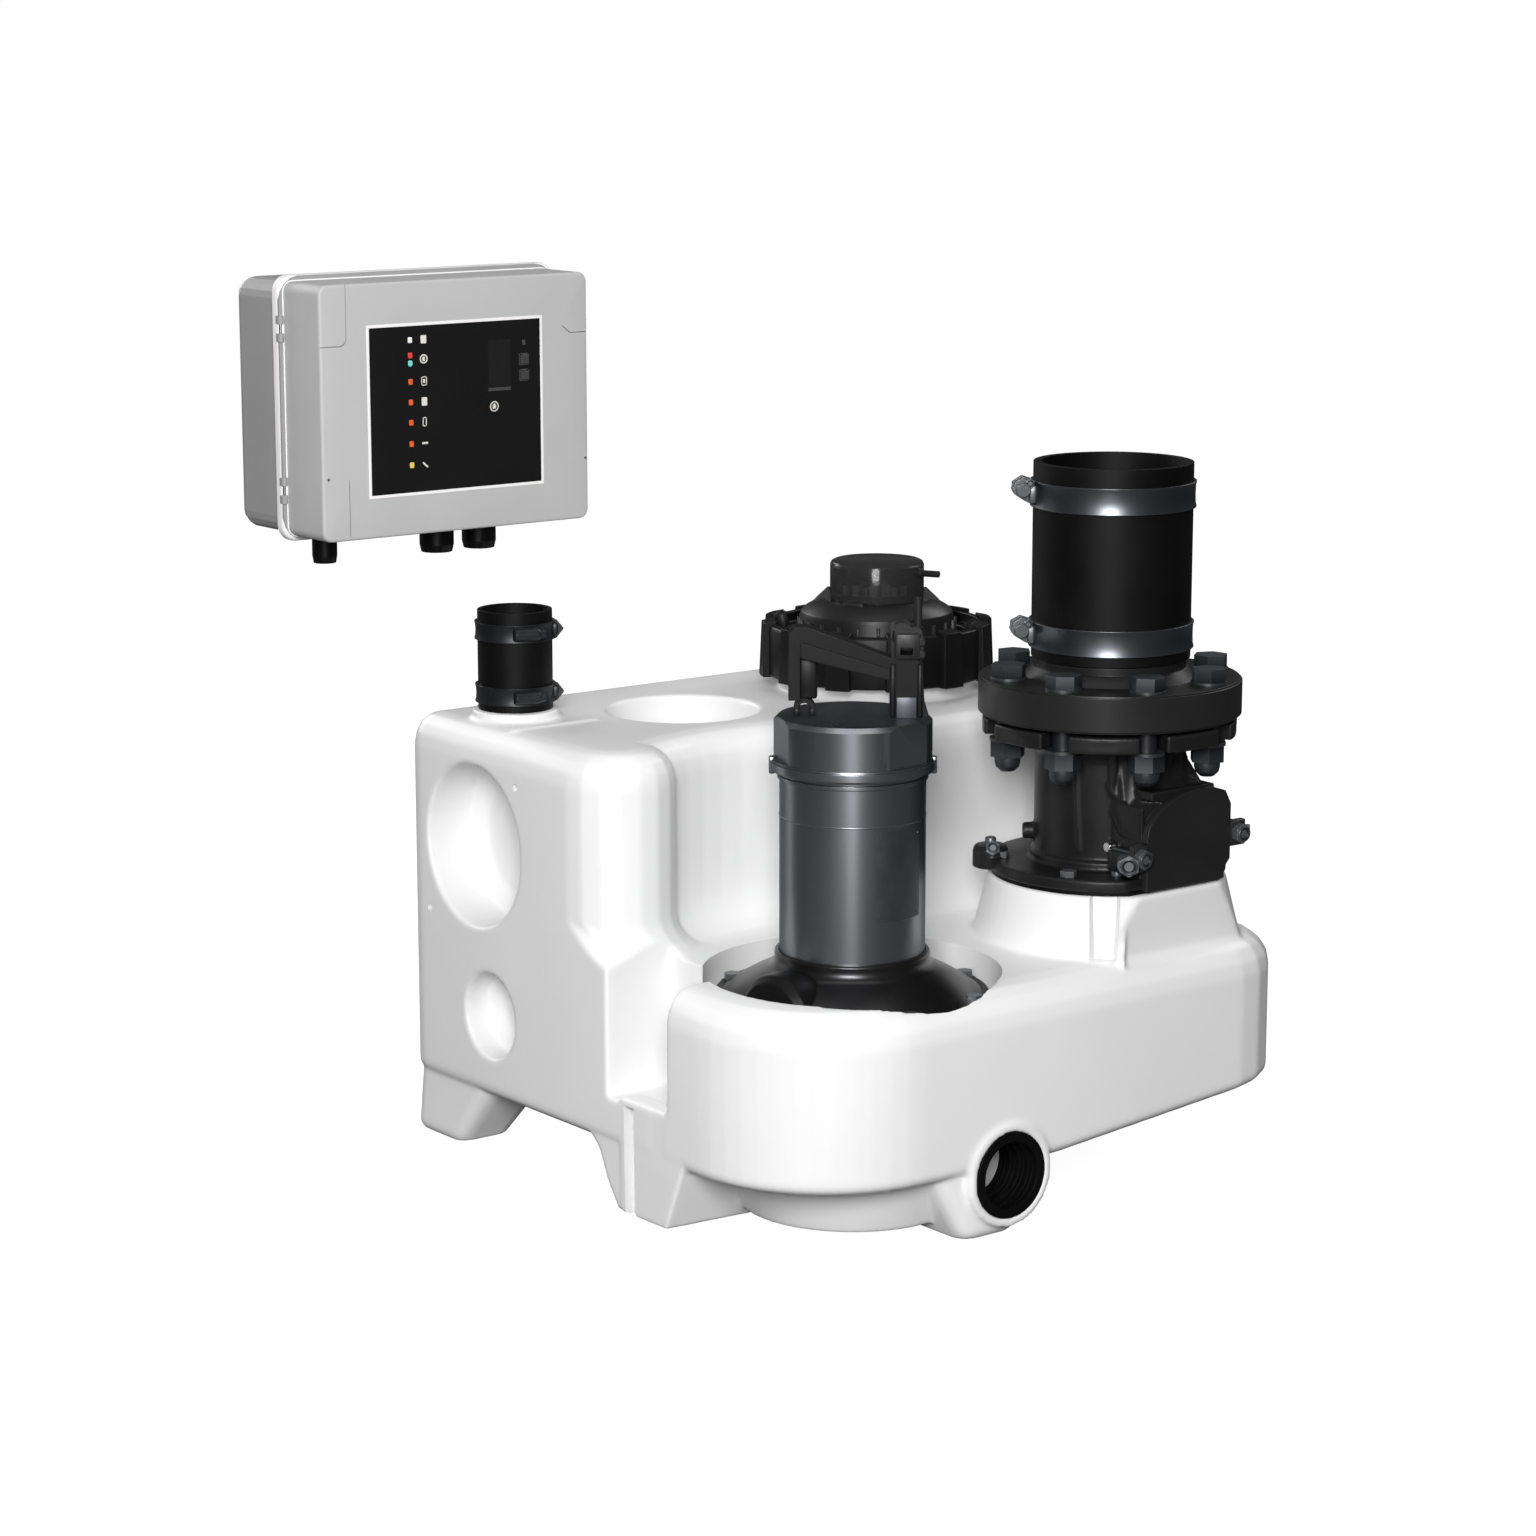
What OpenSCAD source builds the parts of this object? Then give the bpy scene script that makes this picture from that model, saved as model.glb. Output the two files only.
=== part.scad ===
// Wastewater lifting station: a low plastic collecting tank with a pump in its deck,
// a non-return valve and discharge hose, a screw cap with a level unit, a vent hose,
// and a wall-hung controller. All lengths are millimetres.
// Sizes are measured from the tank's front left bottom corner; at_origin() then moves
// everything so that the origin is the middle of the whole set, on the floor.

/* [Tank] */
// Outer width of the tank, left to right
tank_w = 504; // [500:1:530]
// Outer depth of the tank, front to back
tank_d = 512; // [508:1:530]
// Height of the tall block behind the pump
tank_h = 344; // [338:1:352]
// Height of the front deck
deck_h = 187; // [184:1:192]
// Wall of the moulding
tank_wall = 6; // [4:0.5:7]
// Clear height under the tank between its feet
arch_h = 50; // [47:1:53]
// Radius of the tank's upper edges
top_edge_r = 26; // [20:1:28]
// Radius where the tall block meets the deck
foot_r = 28; // [22:1:29]
// Radius of the big rounded corner in front of the pump
nose_r = 118; // [112:1:119]

/* [Inlets] */
// Diameter of the blind recess for the side inlet
side_inlet_d = 129; // [120:1:132]
// Height of the side inlet's centre over the floor
side_inlet_z = 250; // [246:1:254]
// Depth of the blind inlet recesses
inlet_deep = 49; // [40:1:54]
// Diameter of the small blind recess below it
small_inlet_d = 68; // [60:1:70]
// Diameter of the blind recess on top of the tank
top_inlet_d = 121; // [110:1:122]
// Diameter of the front socket's hole
socket_d = 66; // [64:1:67]

/* [Pump] */
// Pump axis from the tank's left side
pump_x = 146; // [144:1:148]
// Pump axis from the tank's front
pump_y = 120; // [119:1:122]
// Radius of the recess for the pump in the deck
recess_r = 110.7; // [109:0.5:112]
// Depth of that recess below the deck
recess_deep = 27; // [24:1:30]
// Outer radius of the motor sleeve
sleeve_r = 54.7; // [53:0.1:56]
// Height of the motor sleeve
sleeve_h = 144; // [138:1:150]
// Wall of the motor sleeve
sleeve_wall = 2; // [1.5:0.1:3]
// Height of the motor head
head_h = 32; // [28:1:36]
// Radius of the pump shaft
shaft_r = 9; // [7:0.5:11]
// Radius of the impeller
impeller_r = 60; // [50:1:62]
// Number of impeller vanes
vane_count = 8; // [5:1:10]

/* [Valve] */
// Valve axis from the tank's left side
valve_x = 380; // [376:1:384]
// Valve axis from the tank's front
valve_y = 95; // [94:1:98]
// Height of the white collar under the valve
collar_h = 48; // [44:1:52]
// Radius of the valve's way through
valve_bore_r = 48; // [46:1:49]
// Height of the valve body over its foot plate
valve_body_h = 98; // [96:1:106]
// Radius of the valve flap
flap_r = 40; // [36:1:41]
// Number of flange bolts
bolt_count = 8; // [6:1:8]
// Outer radius of the outlet flange
flange_r = 101.5; // [100:0.5:104]

/* [Discharge hose] */
// Inner radius of the discharge hose
hose_r = 55.1; // [54:0.1:56]
// Wall of the discharge hose
hose_wall = 6.1; // [5:0.1:7]
// Length of the discharge hose
hose_len = 150; // [130:1:170]

/* [Screw cap] */
// Cap axis from the tank's left side
cap_x = 364; // [360:1:368]
// Cap axis from the tank's front
cap_y = 360; // [356:1:366]
// Outer radius of the grip ring
ring_r = 97; // [95:0.5:99]
// Height of the grip ring
ring_h = 45; // [42:1:48]
// Number of grips around the ring
grip_count = 12; // [8:1:16]
// Outer radius of the tank's neck under the cap
neck_r = 80; // [78:0.5:82]
// Length of the level tube below the cap
level_tube_len = 292; // [250:1:296]

/* [Vent hose] */
// Vent axis from the tank's left side
vent_x = 56; // [54:1:60]
// Vent axis from the tank's front
vent_y = 433; // [428:1:438]
// Inner radius of the vent hose
vent_hose_r = 25.3; // [24:0.1:26]
// Wall of the vent hose
vent_hose_wall = 4.2; // [3:0.1:5]
// Length of the vent hose
vent_hose_len = 79; // [70:1:90]

/* [Controller] */
// Left side of the controller, from the tank's left side
ctl_x = -92.7; // [-105:0.1:-85]
// Underside of the controller over the floor
ctl_z = 489.6; // [480:0.1:520]
// Width of the controller
ctl_w = 248; // [240:1:256]
// Height of the controller
ctl_h = 197.4; // [190:0.1:205]
// Depth of the controller's front cover
cover_d = 52.7; // [48:0.1:57]
// Depth of the controller's back box
box_d = 75.4; // [68:0.1:82]
// Distance from the tank's back to the wall behind the controller
wall_gap = 88; // [84:1:100]
// Wall of the controller's two shells
ctl_wall = 3; // [2.5:0.1:4]
// Width of the black front panel
panel_w = 159; // [150:1:165]
// Height of the black front panel
panel_h = 130; // [124:1:135]
// Side of a square push button
button_w = 7; // [5:0.5:8]

/* [Fits] */
// Radial clearance of a running fit
run_fit = 0.05; // [0.02:0.01:0.09]
// Gap between pieces that only rest on each other
rest_gap = 0.3; // [0.3:0.05:0.5]

/* [Hidden] */
$fn = 48;
eps = 0.01;

// Heights of the pump, from the deck down and up
ledge_z = deck_h - recess_deep;
seal_t = 3;
flange_z = ledge_z + seal_t;
hub_top = flange_z + 41;
sleeve_z = hub_top - 8;
joint_z = sleeve_z + sleeve_h;
joint_h = 9;
head_z = joint_z + joint_h;
head_top = head_z + head_h;
head_r = sleeve_r + 4.3;
pump_mid_z = max(ledge_z - 52, arch_h + 53);
volute_r = impeller_r + 22;

// Heights of the valve and the discharge
collar_top = deck_h + collar_h;
gasket_t = 3;
foot_z = collar_top + gasket_t;
foot_t = 9;
body_z = foot_z + foot_t;
ring_z = body_z + valve_body_h;
ring_t = 13;
flange_bottom = ring_z + ring_t + gasket_t;
flange_t = 29;
flange_top = flange_bottom + flange_t;
hose_z = flange_top + 15;
hose_out_r = hose_r + hose_wall;
spigot_r = hose_r + 0.5;
bolt_pitch_r = flange_r - 19;
valve_front = valve_y - 83;
barrel_r = valve_bore_r + 9;

// Heights of the screw cap
neck_top = tank_h + 28;
cap_flange_t = 6;
cap_flange_z = neck_top + 2 + rest_gap;
ring_bottom = neck_top - 15;
dome_top = neck_top + 52;

// Vent
vent_out_r = vent_hose_r + vent_hose_wall;
vent_z = tank_h + 7;
vent_spigot_r = vent_hose_r + 0.5;

// Controller planes: the cover's face, the parting plane and the wall
ctl_y = tank_d + wall_gap - box_d - cover_d;
part_y = ctl_y + cover_d;
wall_y = part_y + box_d;
rim_t = 6;
rim_out = 4;
pin_r = 1.2;
knuckle_r = 2.5;
hinge_x = ctl_x - 3;
hinge_zs = [ctl_z + 26, ctl_z + ctl_h - 46];
hinge_len = 20;
panel_x = ctl_x + 43.4;
panel_z = ctl_z + 33.1;
panel_t = 1.5;
button_x = panel_x + 143.2;
button_zs = [panel_z + 98.2, panel_z + 85.8];
button_travel = 1.5;

// Whole set, for the origin
set_left = hinge_x - knuckle_r;
set_right = tank_w;
socket_lip = 2;
set_front = min(-socket_lip, valve_y - flange_r);
set_back = max(wall_y, tank_d);

module at_origin() {
    translate([-(set_left + set_right) / 2, -(set_front + set_back) / 2, 0]) children();
}

// General shapes

// Points of an arc about [x, y], from angle a0 to a1 in n steps
function arc(x, y, r, a0, a1, n) = [for (i = [0:n])
    let(a = a0 + (a1 - a0) * i / n) [x + r * cos(a), y + r * sin(a)]];

// The same without its two end points, which the neighbouring arcs already hold
function arc_between(x, y, r, a0, a1, n) = let(all = arc(x, y, r, a0, a1, n)) [for (i = [1:n - 1]) all[i]];

// Rounded rectangle about the origin, as points
function rounded(w, h, r, n = 4) = concat(
    arc(w / 2 - r, h / 2 - r, r, 0, 90, n), arc(r - w / 2, h / 2 - r, r, 90, 180, n),
    arc(r - w / 2, r - h / 2, r, 180, 270, n), arc(w / 2 - r, r - h / 2, r, 270, 360, n));

function lift(ring, z) = [for (p = ring) [p[0], p[1], z]];

function middle(ring) = [for (k = [0:2]) let(s = [for (p = ring) p[k]]) sum(s) / len(s)];
function sum(v, i = 0) = i < len(v) ? v[i] + sum(v, i + 1) : 0;

// Solid skin over rings of points, from the lowest ring to the highest, each listed
// anticlockwise seen from above. crown is a point in plan that sees the whole top ring.
module loft(rings, crown = undef) {
    n = len(rings[0]);
    m = len(rings);
    top = middle(rings[m - 1]);
    points = concat([for (ring = rings) each ring], [middle(rings[0])],
        [is_undef(crown) ? top : [crown[0], crown[1], top[2]]]);
    polyhedron(points = points, faces = concat(
        [for (i = [0:n - 1]) [i, (i + 1) % n, n * m]],
        [for (j = [0:m - 2], i = [0:n - 1]) let(a = j * n + i, b = j * n + (i + 1) % n) [a + n, b + n, b]],
        [for (j = [0:m - 2], i = [0:n - 1]) let(a = j * n + i, b = j * n + (i + 1) % n) [a + n, b, a]],
        [for (i = [0:n - 1]) [(m - 1) * n + (i + 1) % n, (m - 1) * n + i, n * m + 1]]));
}

module along_y(x, y, z) {
    translate([x, y, z]) rotate([-90, 0, 0]) children();
}

module ring_shape(r_out, r_in, h) {
    difference() {
        cylinder(r = r_out, h = h);
        translate([0, 0, -1]) cylinder(r = r_in, h = h + 2);
    }
}

module around(count, r, start = 0) {
    for (i = [0:count - 1]) rotate([0, 0, start + i * 360 / count]) translate([r, 0, 0]) children();
}

// Tank

// Plan of the tall block's front wall: a round pillar at the left, a hollow that follows
// the pump, then a straight wall. d is how far the outline lies inside the wall.
pillar_r = 46;
bay_r = recess_r + 47.3;
bay_end_r = 30;
front_y = pump_y + 102;
pillar_y = pump_y + 164;
bay_end_y = front_y + bay_end_r;
bay_end_x = pump_x + sqrt(pow(bay_r + bay_end_r, 2) - pow(bay_end_y - pump_y, 2));
bay_end_a = atan2(bay_end_y - pump_y, bay_end_x - pump_x);
pillar_dx = pillar_r - pump_x;
pillar_dy = pillar_y - pump_y;
pillar_gap = sqrt(pow(pillar_dx, 2) + pow(pillar_dy, 2));
pillar_dir = atan2(pillar_dy, pillar_dx);
right_r = 40;
right_corner_r = 66;
back_left_r = 24;
side_steps = 3;

function valley_along(d) = (pow(bay_r + d, 2) - pow(pillar_r - d, 2) +
    pow(pillar_gap, 2)) / (2 * pillar_gap);
function bay_start_a(d) = pillar_dir - acos(valley_along(d) / (bay_r + d));
function pillar_end_a(d) = pillar_dir + 180 + acos((pillar_gap - valley_along(d)) / (pillar_r - d));
function pillar_start_a(d, t) = d >= t ? 180 : 180 + acos((pillar_r - t) / (pillar_r - d));
function right_end_a(d, t) = d >= t ? 360 : 270 + asin((right_r - t) / (right_r - d));

function back_left(d) = arc(back_left_r, tank_d - back_left_r, back_left_r - d * 0.85, 90, 180, 4);
function back_right(d) = arc(tank_w - right_r, tank_d - right_r, right_r - d, 0, 90, 4);

// t is the least inset of the sides and the back
function tall_outline(d, t) = concat(
    back_left(max(d, t)),
    arc(pillar_r, pillar_y, pillar_r - d, pillar_start_a(d, t), pillar_end_a(d), 8),
    arc_between(pump_x, pump_y, bay_r + d, bay_start_a(d), bay_end_a, 10),
    arc(bay_end_x, bay_end_y, bay_end_r - d, bay_end_a + 180, 270, 3),
    arc(tank_w - right_r, front_y + right_r, right_r - d, 270, right_end_a(d, t), 5),
    [for (i = [1:side_steps]) [tank_w - max(d, t), front_y + right_r + i * 20]],
    back_right(max(d, t)));

// Plan of the deck block. d is the inset of its front, left and right edges there, and
// fades out along both sides where the tall block rises. all is the inset of every edge.
nose_steps = 13;
front_steps = 5;
fade_left = [for (t = [0:2]) pillar_y - pillar_r - 12 - t * 22];
fade_right = [for (t = [0:side_steps - 1]) right_corner_r + 44 + t * 30];

function deck_outline(d, all) = concat(
    back_left(all),
    [for (t = [0:2]) [all + d * t / 3, fade_left[t]]],
    arc(nose_r, nose_r, nose_r - d - all, 180, 270, nose_steps),
    [for (t = [1:front_steps]) [nose_r + (bay_end_x + 10 - nose_r) * t / front_steps, d + all]],
    arc(tank_w - right_corner_r, right_corner_r, right_corner_r - d - all, 270, 360, 5),
    [for (t = [0:side_steps - 1]) [tank_w - all - d * (1 - (t + 1) / side_steps), fade_right[t]]],
    back_right(all));

// The underside rises a little towards the right
rise = 0.088;
function under_z(x) = arch_h + max(0, x - 240) * rise;
function under(ring, z) = [for (p = ring) [p[0], p[1], under_z(p[0]) + z]];

edge_steps = 4;
under_edge = 8;

// The tank's skin; t is how far inside the outer skin it lies
module tank_form(t) {
    top_r = top_edge_r - t;
    deck_r = foot_r - t;
    loft(concat(
        [under(deck_outline(0, t + under_edge), t),
            under(deck_outline(0, t + under_edge / 4), t + under_edge / 2),
         under(deck_outline(0, t), t + under_edge)],
        [for (i = [0:edge_steps]) let(a = 90 * i / edge_steps)
            lift(deck_outline(deck_r * (1 - cos(a)), t), deck_h - t - deck_r + deck_r * sin(a))],
        [for (i = [0:edge_steps]) let(a = 90 * i / edge_steps, flare = (foot_r + t) * (1 - sin(a)))
            lift(tall_outline(t - flare, t), deck_h - t + 0.2 + (foot_r + t) * (1 - cos(a)))],
        [for (i = [0:edge_steps]) let(a = 90 * i / edge_steps)
            lift(tall_outline(t + top_r * (1 - cos(a)), t), tank_h - t - top_r + top_r * sin(a))]),
        [72, 470]);
}

// Blind round pocket whose floor is rounded towards its middle
module pocket(r, deep) {
    cylinder(r = r, h = deep - 9);
    translate([0, 0, deep - 9 - eps]) cylinder(r1 = r, r2 = r - 14, h = 9);
}

socket_x = 200.5;
socket_z = 45.5;
socket_deep = 45;
socket_ring_r = socket_d / 2 + 6.5;
side_inlet_y = 412.5;
small_inlet_y = 392;
small_inlet_z = 116.5;
small_inlet_deep = 30;
top_inlet_x = 180.5;
top_inlet_y = 379;
pilot_dy = 59.8;
pilot_dz = 58;

// Tapered foot from a footprint on the floor up into the tank
module foot(x0, x1, y0, y1, left = 10, right = 10, front = 10, back = 10, r = 12) {
    up = under_z(x1) + under_edge + 2;
    base = rounded(x1 - x0, y1 - y0, r, 3);
    head = rounded(x1 - x0 + left + right, y1 - y0 + front + back, r + 4, 3);
    mid = [(x0 + x1) / 2, (y0 + y1) / 2];
    loft([
        [for (p = base) [mid[0] + p[0] * 0.9, mid[1] + p[1] * 0.9, 0]],
        [for (p = base) [mid[0] + p[0], mid[1] + p[1], 5]],
        [for (p = head) [mid[0] + (right - left) / 2 + p[0], mid[1] + (back - front) / 2 + p[1], up]]]);
}

bowl_top_r = recess_r - 4;
bowl_base_r = bowl_top_r - 22;
bowl_z = 8;

module tank_solid() {
    tank_form(0);
    // Sump bowl under the pump
    translate([pump_x, pump_y, bowl_z])
        cylinder(r1 = bowl_base_r, r2 = bowl_top_r, h = arch_h + under_edge - bowl_z);
    // Feet: left front, front with the socket, left back, right back
    foot(2, 52, 160, 224, left = -2, right = 14, front = 6, back = 18);
    foot(158, 214, 3, 74, left = 30, right = 34, front = -3, back = 14);
    foot(2, 56, 440, 508, left = -2, right = 18, front = 44, back = -2);
    foot(446, 500, 440, 504, left = 20, right = -4, front = 30, back = -4);
    // Ring around the socket
    along_y(socket_x, -socket_lip, socket_z) cylinder(r = socket_ring_r, h = 50);
    // Collar under the valve
    collar_form(0);
    translate([cap_x, cap_y, tank_h - 8]) cylinder(r = neck_r, h = neck_top - tank_h + 8);
    translate([vent_x, vent_y, tank_h - 6]) cylinder(r = vent_out_r + 5, h = vent_z - tank_h + 6);
    translate([vent_x, vent_y, tank_h - 6]) cylinder(r = vent_spigot_r, h = 42);
    // Raised bar on the top
    translate([18, 380, tank_h - 3]) cube([80, 4, 5]);
}

collar_base_r = 104;
collar_top_r = 92;
collar_lean = 8;

// Collar: a cone with a flat cut in front and a tapered rib; t is the inset
module collar_form(t) {
    difference() {
        translate([valve_x, valve_y, deck_h - 10])
            cylinder(r1 = collar_base_r + 2.5 - t, r2 = collar_top_r - t, h = collar_h + 10 - t, $fn = 72);
        translate([valve_x - 150, valve_front + t, collar_top]) rotate([collar_lean, 0, 0])
            translate([0, -60, -90]) cube([300, 60, 120]);
    }
    if (t == 0) translate([valve_x, valve_y, deck_h - 8]) rotate([0, 0, 227])
        translate([collar_top_r - 10, 0, 0]) collar_rib();
}

module collar_rib() {
    loft([[[0, -6, 0], [22, -6, 0], [22, 6, 0], [0, 6, 0]],
          [[0, -9, collar_h + 7], [13, -9, collar_h + 7], [13, 9, collar_h + 7], [0, 9, collar_h + 7]]]);
}

module tank_cavity() {
    tank_form(tank_wall);
    translate([pump_x, pump_y, bowl_z + tank_wall])
        cylinder(r1 = bowl_base_r - tank_wall, r2 = bowl_top_r - tank_wall, h = arch_h + 8);
    collar_form(tank_wall);
}

pipe_r = 44;

// Walls left standing inside around the blind recesses
module tank_jackets() {
    w = tank_wall;
    translate([pump_x, pump_y, ledge_z - w]) cylinder(r = recess_r + w, h = recess_deep + 2 * w, $fn = 72);
    along_x(0, side_inlet_y, side_inlet_z) cylinder(r = side_inlet_d / 2 + w, h = inlet_deep + w);
    along_x(0, small_inlet_y, small_inlet_z) cylinder(r = small_inlet_d / 2 + w, h = small_inlet_deep + w);
    translate([top_inlet_x, top_inlet_y, tank_h - inlet_deep - w])
        cylinder(r = top_inlet_d / 2 + w, h = inlet_deep + 2 * w);
    along_y(socket_x, -1, socket_z) cylinder(r = socket_ring_r, h = socket_deep + w);
    translate([-1, channel_y0 - w, channel_z - w])
        cube([channel_x + w + 1, channel_y1 - channel_y0 + 2 * w, deck_h]);
    translate([-1, channel_y0 - w, -1]) cube([groove_x + w + 1, 24 + 2 * w, channel_z + 2]);
}

module along_x(x, y, z) {
    translate([x, y, z]) rotate([0, 90, 0]) children();
}

channel_y0 = 158;
channel_y1 = 233;
channel_x = 62;
channel_z = 88;
groove_x = 12;

module tank_cuts() {
    // Pump recess and the hole in its ledge
    translate([pump_x, pump_y, ledge_z]) cylinder(r = recess_r, h = recess_deep + 10, $fn = 72);
    translate([pump_x, pump_y, ledge_z - 20]) cylinder(r = volute_r + 4, h = 40);
    // Blind inlets
    translate([0, side_inlet_y, side_inlet_z]) rotate([0, 90, 0]) translate([0, 0, -eps])
        pocket(side_inlet_d / 2, inlet_deep);
    translate([0, small_inlet_y, small_inlet_z]) rotate([0, 90, 0]) translate([0, 0, -eps])
        pocket(small_inlet_d / 2, small_inlet_deep);
    translate([top_inlet_x, top_inlet_y, tank_h + eps]) rotate([180, 0, 0])
        pocket(top_inlet_d / 2, inlet_deep);
    for (s = [-1, 1]) along_x(-1, side_inlet_y - s * pilot_dy, side_inlet_z + s * pilot_dz)
        cylinder(r = 2.5, h = 5);
    // Front socket, through to the sump
    along_y(socket_x, -socket_lip - 1, socket_z)
        cylinder(r = socket_d / 2, h = socket_deep + socket_lip + 1);
    along_y(socket_x, socket_deep - 1, socket_z) cylinder(r = 20, h = 30);
    // Neck, vent and the way up to the valve
    translate([cap_x, cap_y, tank_h - 40]) cylinder(r = neck_r - 8, h = 90);
    translate([vent_x, vent_y, tank_h - 40]) cylinder(r = vent_hose_r - 4, h = 100);
    translate([valve_x, valve_y, deck_h + collar_h - 20]) cylinder(r = pipe_r + 1, h = 40);
    // Cable channel, clear of the pump recess's ledge, and the groove below it
    difference() {
        translate([-1, channel_y0, channel_z]) cube([channel_x + 1, channel_y1 - channel_y0, deck_h]);
        translate([pump_x, pump_y, 0]) cylinder(r = recess_r + tank_wall, h = ledge_z, $fn = 72);
    }
    translate([-1, channel_y0 + 2, -1]) cube([groove_x + 1, 18, channel_z + 2]);
    // Blind holes of the pump flange's and the valve foot's screws
    translate([pump_x, pump_y, ledge_z - 5]) around(8, screw_ring_r, 32.5)
        cylinder(r = 3.5, h = 10, $fn = 16);
    translate([valve_x, valve_y, collar_top - 5]) foot_screws() cylinder(r = 3.2, h = 10, $fn = 16);
}

// Places of the screws around the valve's foot
foot_screw_angles = [27, 87, 147, 207, 327];
module foot_screws() {
    for (a = foot_screw_angles) rotate([0, 0, a]) translate([collar_top_r - 9, 0, 0]) children();
}

module tank() {
    color("white") at_origin() difference() {
        tank_solid();
        difference() {
            tank_cavity();
            tank_jackets();
        }
        tank_cuts();
    }
}

lip_r = 25.4;

// Ribbed rubber socket in the front foot
module hand_pump_seal() {
    len = socket_deep - 1;
    lips = 4;
    pitch = (len - 4) / lips;
    color("#161616") at_origin() along_y(socket_x, -socket_lip, socket_z) difference() {
        cylinder(r = socket_d / 2 - run_fit, h = len);
        translate([0, 0, -1]) cylinder(r = lip_r, h = len + 2);
        for (i = [0:lips - 1]) translate([0, 0, 4 + i * pitch]) cylinder(r = lip_r + 4, h = pitch - 4);
    }
}

// Pump

module flange_seal() {
    color("#1a1a1a") at_origin() translate([pump_x, pump_y, ledge_z])
        difference() {
            ring_shape(recess_r - 7, volute_r + 5, seal_t);
            around(8, screw_ring_r, 32.5) translate([0, 0, -1]) cylinder(r = 3.5, h = 10, $fn = 16);
        }
}

screw_ring_r = recess_r - 15;

module pump_flange() {
    rim = 8;
    color("#141414") at_origin() translate([pump_x, pump_y, flange_z]) difference() {
        union() {
            rotate_extrude($fn = 72) polygon([
                [volute_r - 14, 0], [recess_r - 6.7, 0], [recess_r - 6.7, rim], [volute_r + 5, rim],
                    [volute_r, rim + 4],
                [volute_r - 12, rim + 8], [sleeve_r + 8, rim + 20], [sleeve_r + 4, hub_top - flange_z],
                [sleeve_r - 6, hub_top - flange_z], [sleeve_r - 6, 10]]);
            around(8, volute_r - 14, 10) translate([0, -4, 0]) cube([20, 8, rim + 9]);
        }
        translate([0, 0, sleeve_z - flange_z]) cylinder(r = sleeve_r, h = 30);
        around(8, screw_ring_r, 32.5) translate([0, 0, -1]) cylinder(r = 3.5, h = 40, $fn = 16);
    }
}

module flange_screws() {
    color("#4a4d50") at_origin() translate([pump_x, pump_y, flange_z])
        around(8, screw_ring_r, 32.5) {
            translate([0, 0, -seal_t - 5]) cylinder(r = 3.4, h = seal_t + 14, $fn = 16);
            translate([0, 0, 8]) cylinder(r = 6.5, h = 5, $fn = 6);
        }
}

// Pump casing with its eye below and its outlet towards the valve
module volute() {
    color("#2b2e31") at_origin() translate([pump_x, pump_y, pump_mid_z]) rotate([0, 0, outlet_a])
        difference() {
        union() {
            translate([0, 0, -34]) cylinder(r1 = volute_r - 12, r2 = volute_r, h = 14);
            translate([0, 0, -20 - eps]) cylinder(r = volute_r, h = flange_z - pump_mid_z + 20 + eps);
            rotate([0, 90, 0]) cylinder(r = 34, h = volute_r + 14);
        }
        translate([0, 0, -26]) cylinder(r1 = volute_r - 16, r2 = volute_r - 8, h = 10);
        translate([0, 0, -16 - eps]) cylinder(r = volute_r - 8, h = 40);
        translate([0, 0, -40]) cylinder(r = impeller_r * 0.55, h = 40);
        cylinder(r = 24, h = 80);
        translate([0, 0, 36]) cylinder(r = volute_r - 8, h = 30);
        translate([30, 0, 0]) rotate([0, 90, 0]) cylinder(r = 26, h = volute_r);
    }
}

outlet_dx = valve_x - pump_x;
outlet_dy = valve_y - pump_y;
outlet_a = atan2(outlet_dy, outlet_dx);

// Pipe from the pump casing across and up to the valve
module delivery_bend() {
    run = sqrt(pow(outlet_dx, 2) + pow(outlet_dy, 2));
    start = volute_r + 14;
    tube_r = 34;
    color("#26292b") at_origin() translate([pump_x, pump_y, pump_mid_z]) rotate([0, 0, outlet_a])
        difference() {
        union() {
            translate([start, 0, 0]) rotate([0, 90, 0]) cylinder(r = tube_r, h = run - start);
            translate([run, 0, 0]) sphere(r = tube_r, $fn = 32);
            translate([run, 0, 0]) cylinder(r = tube_r, h = collar_top - pump_mid_z);
            translate([run, 0, collar_top - pump_mid_z - 12]) cylinder(r = pipe_r, h = 12);
        }
        translate([start - 1, 0, 0]) rotate([0, 90, 0]) cylinder(r = tube_r - 5, h = run - start + 1);
        translate([run, 0, 0]) sphere(r = tube_r - 5, $fn = 32);
        translate([run, 0, 0]) cylinder(r = tube_r - 5, h = 200);
    }
}

// Open impeller with curved vanes under a plate
module impeller() {
    plate = 5;
    vane_h = 20;
    color("#3a3d40") at_origin() translate([pump_x, pump_y, pump_mid_z - 6]) difference() {
        union() {
            translate([0, 0, vane_h]) cylinder(r = impeller_r, h = plate);
            cylinder(r = shaft_r + 8, h = vane_h + plate);
            for (i = [0:vane_count - 1]) rotate([0, 0, i * 360 / vane_count])
                linear_extrude(vane_h + 1) vane();
        }
        translate([0, 0, -1]) cylinder(r = shaft_r + 0.02, h = vane_h + plate + 2);
    }
}

module vane() {
    steps = 5;
    thick = 5;
    inner = shaft_r + 6;
    outer = impeller_r - 1;
    sweep = 50;
    function at(t, off) = let(r = inner + (outer - inner) * t, a = sweep * t) [r * cos(a) - off * sin(a),
        r * sin(a) + off * cos(a)];
    polygon(concat([for (i = [0:steps]) at(i / steps, -thick / 2)],
        [for (i = [steps:-1:0]) at(i / steps, thick / 2)]));
}

shaft_top = joint_z + joint_h - 1;

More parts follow.
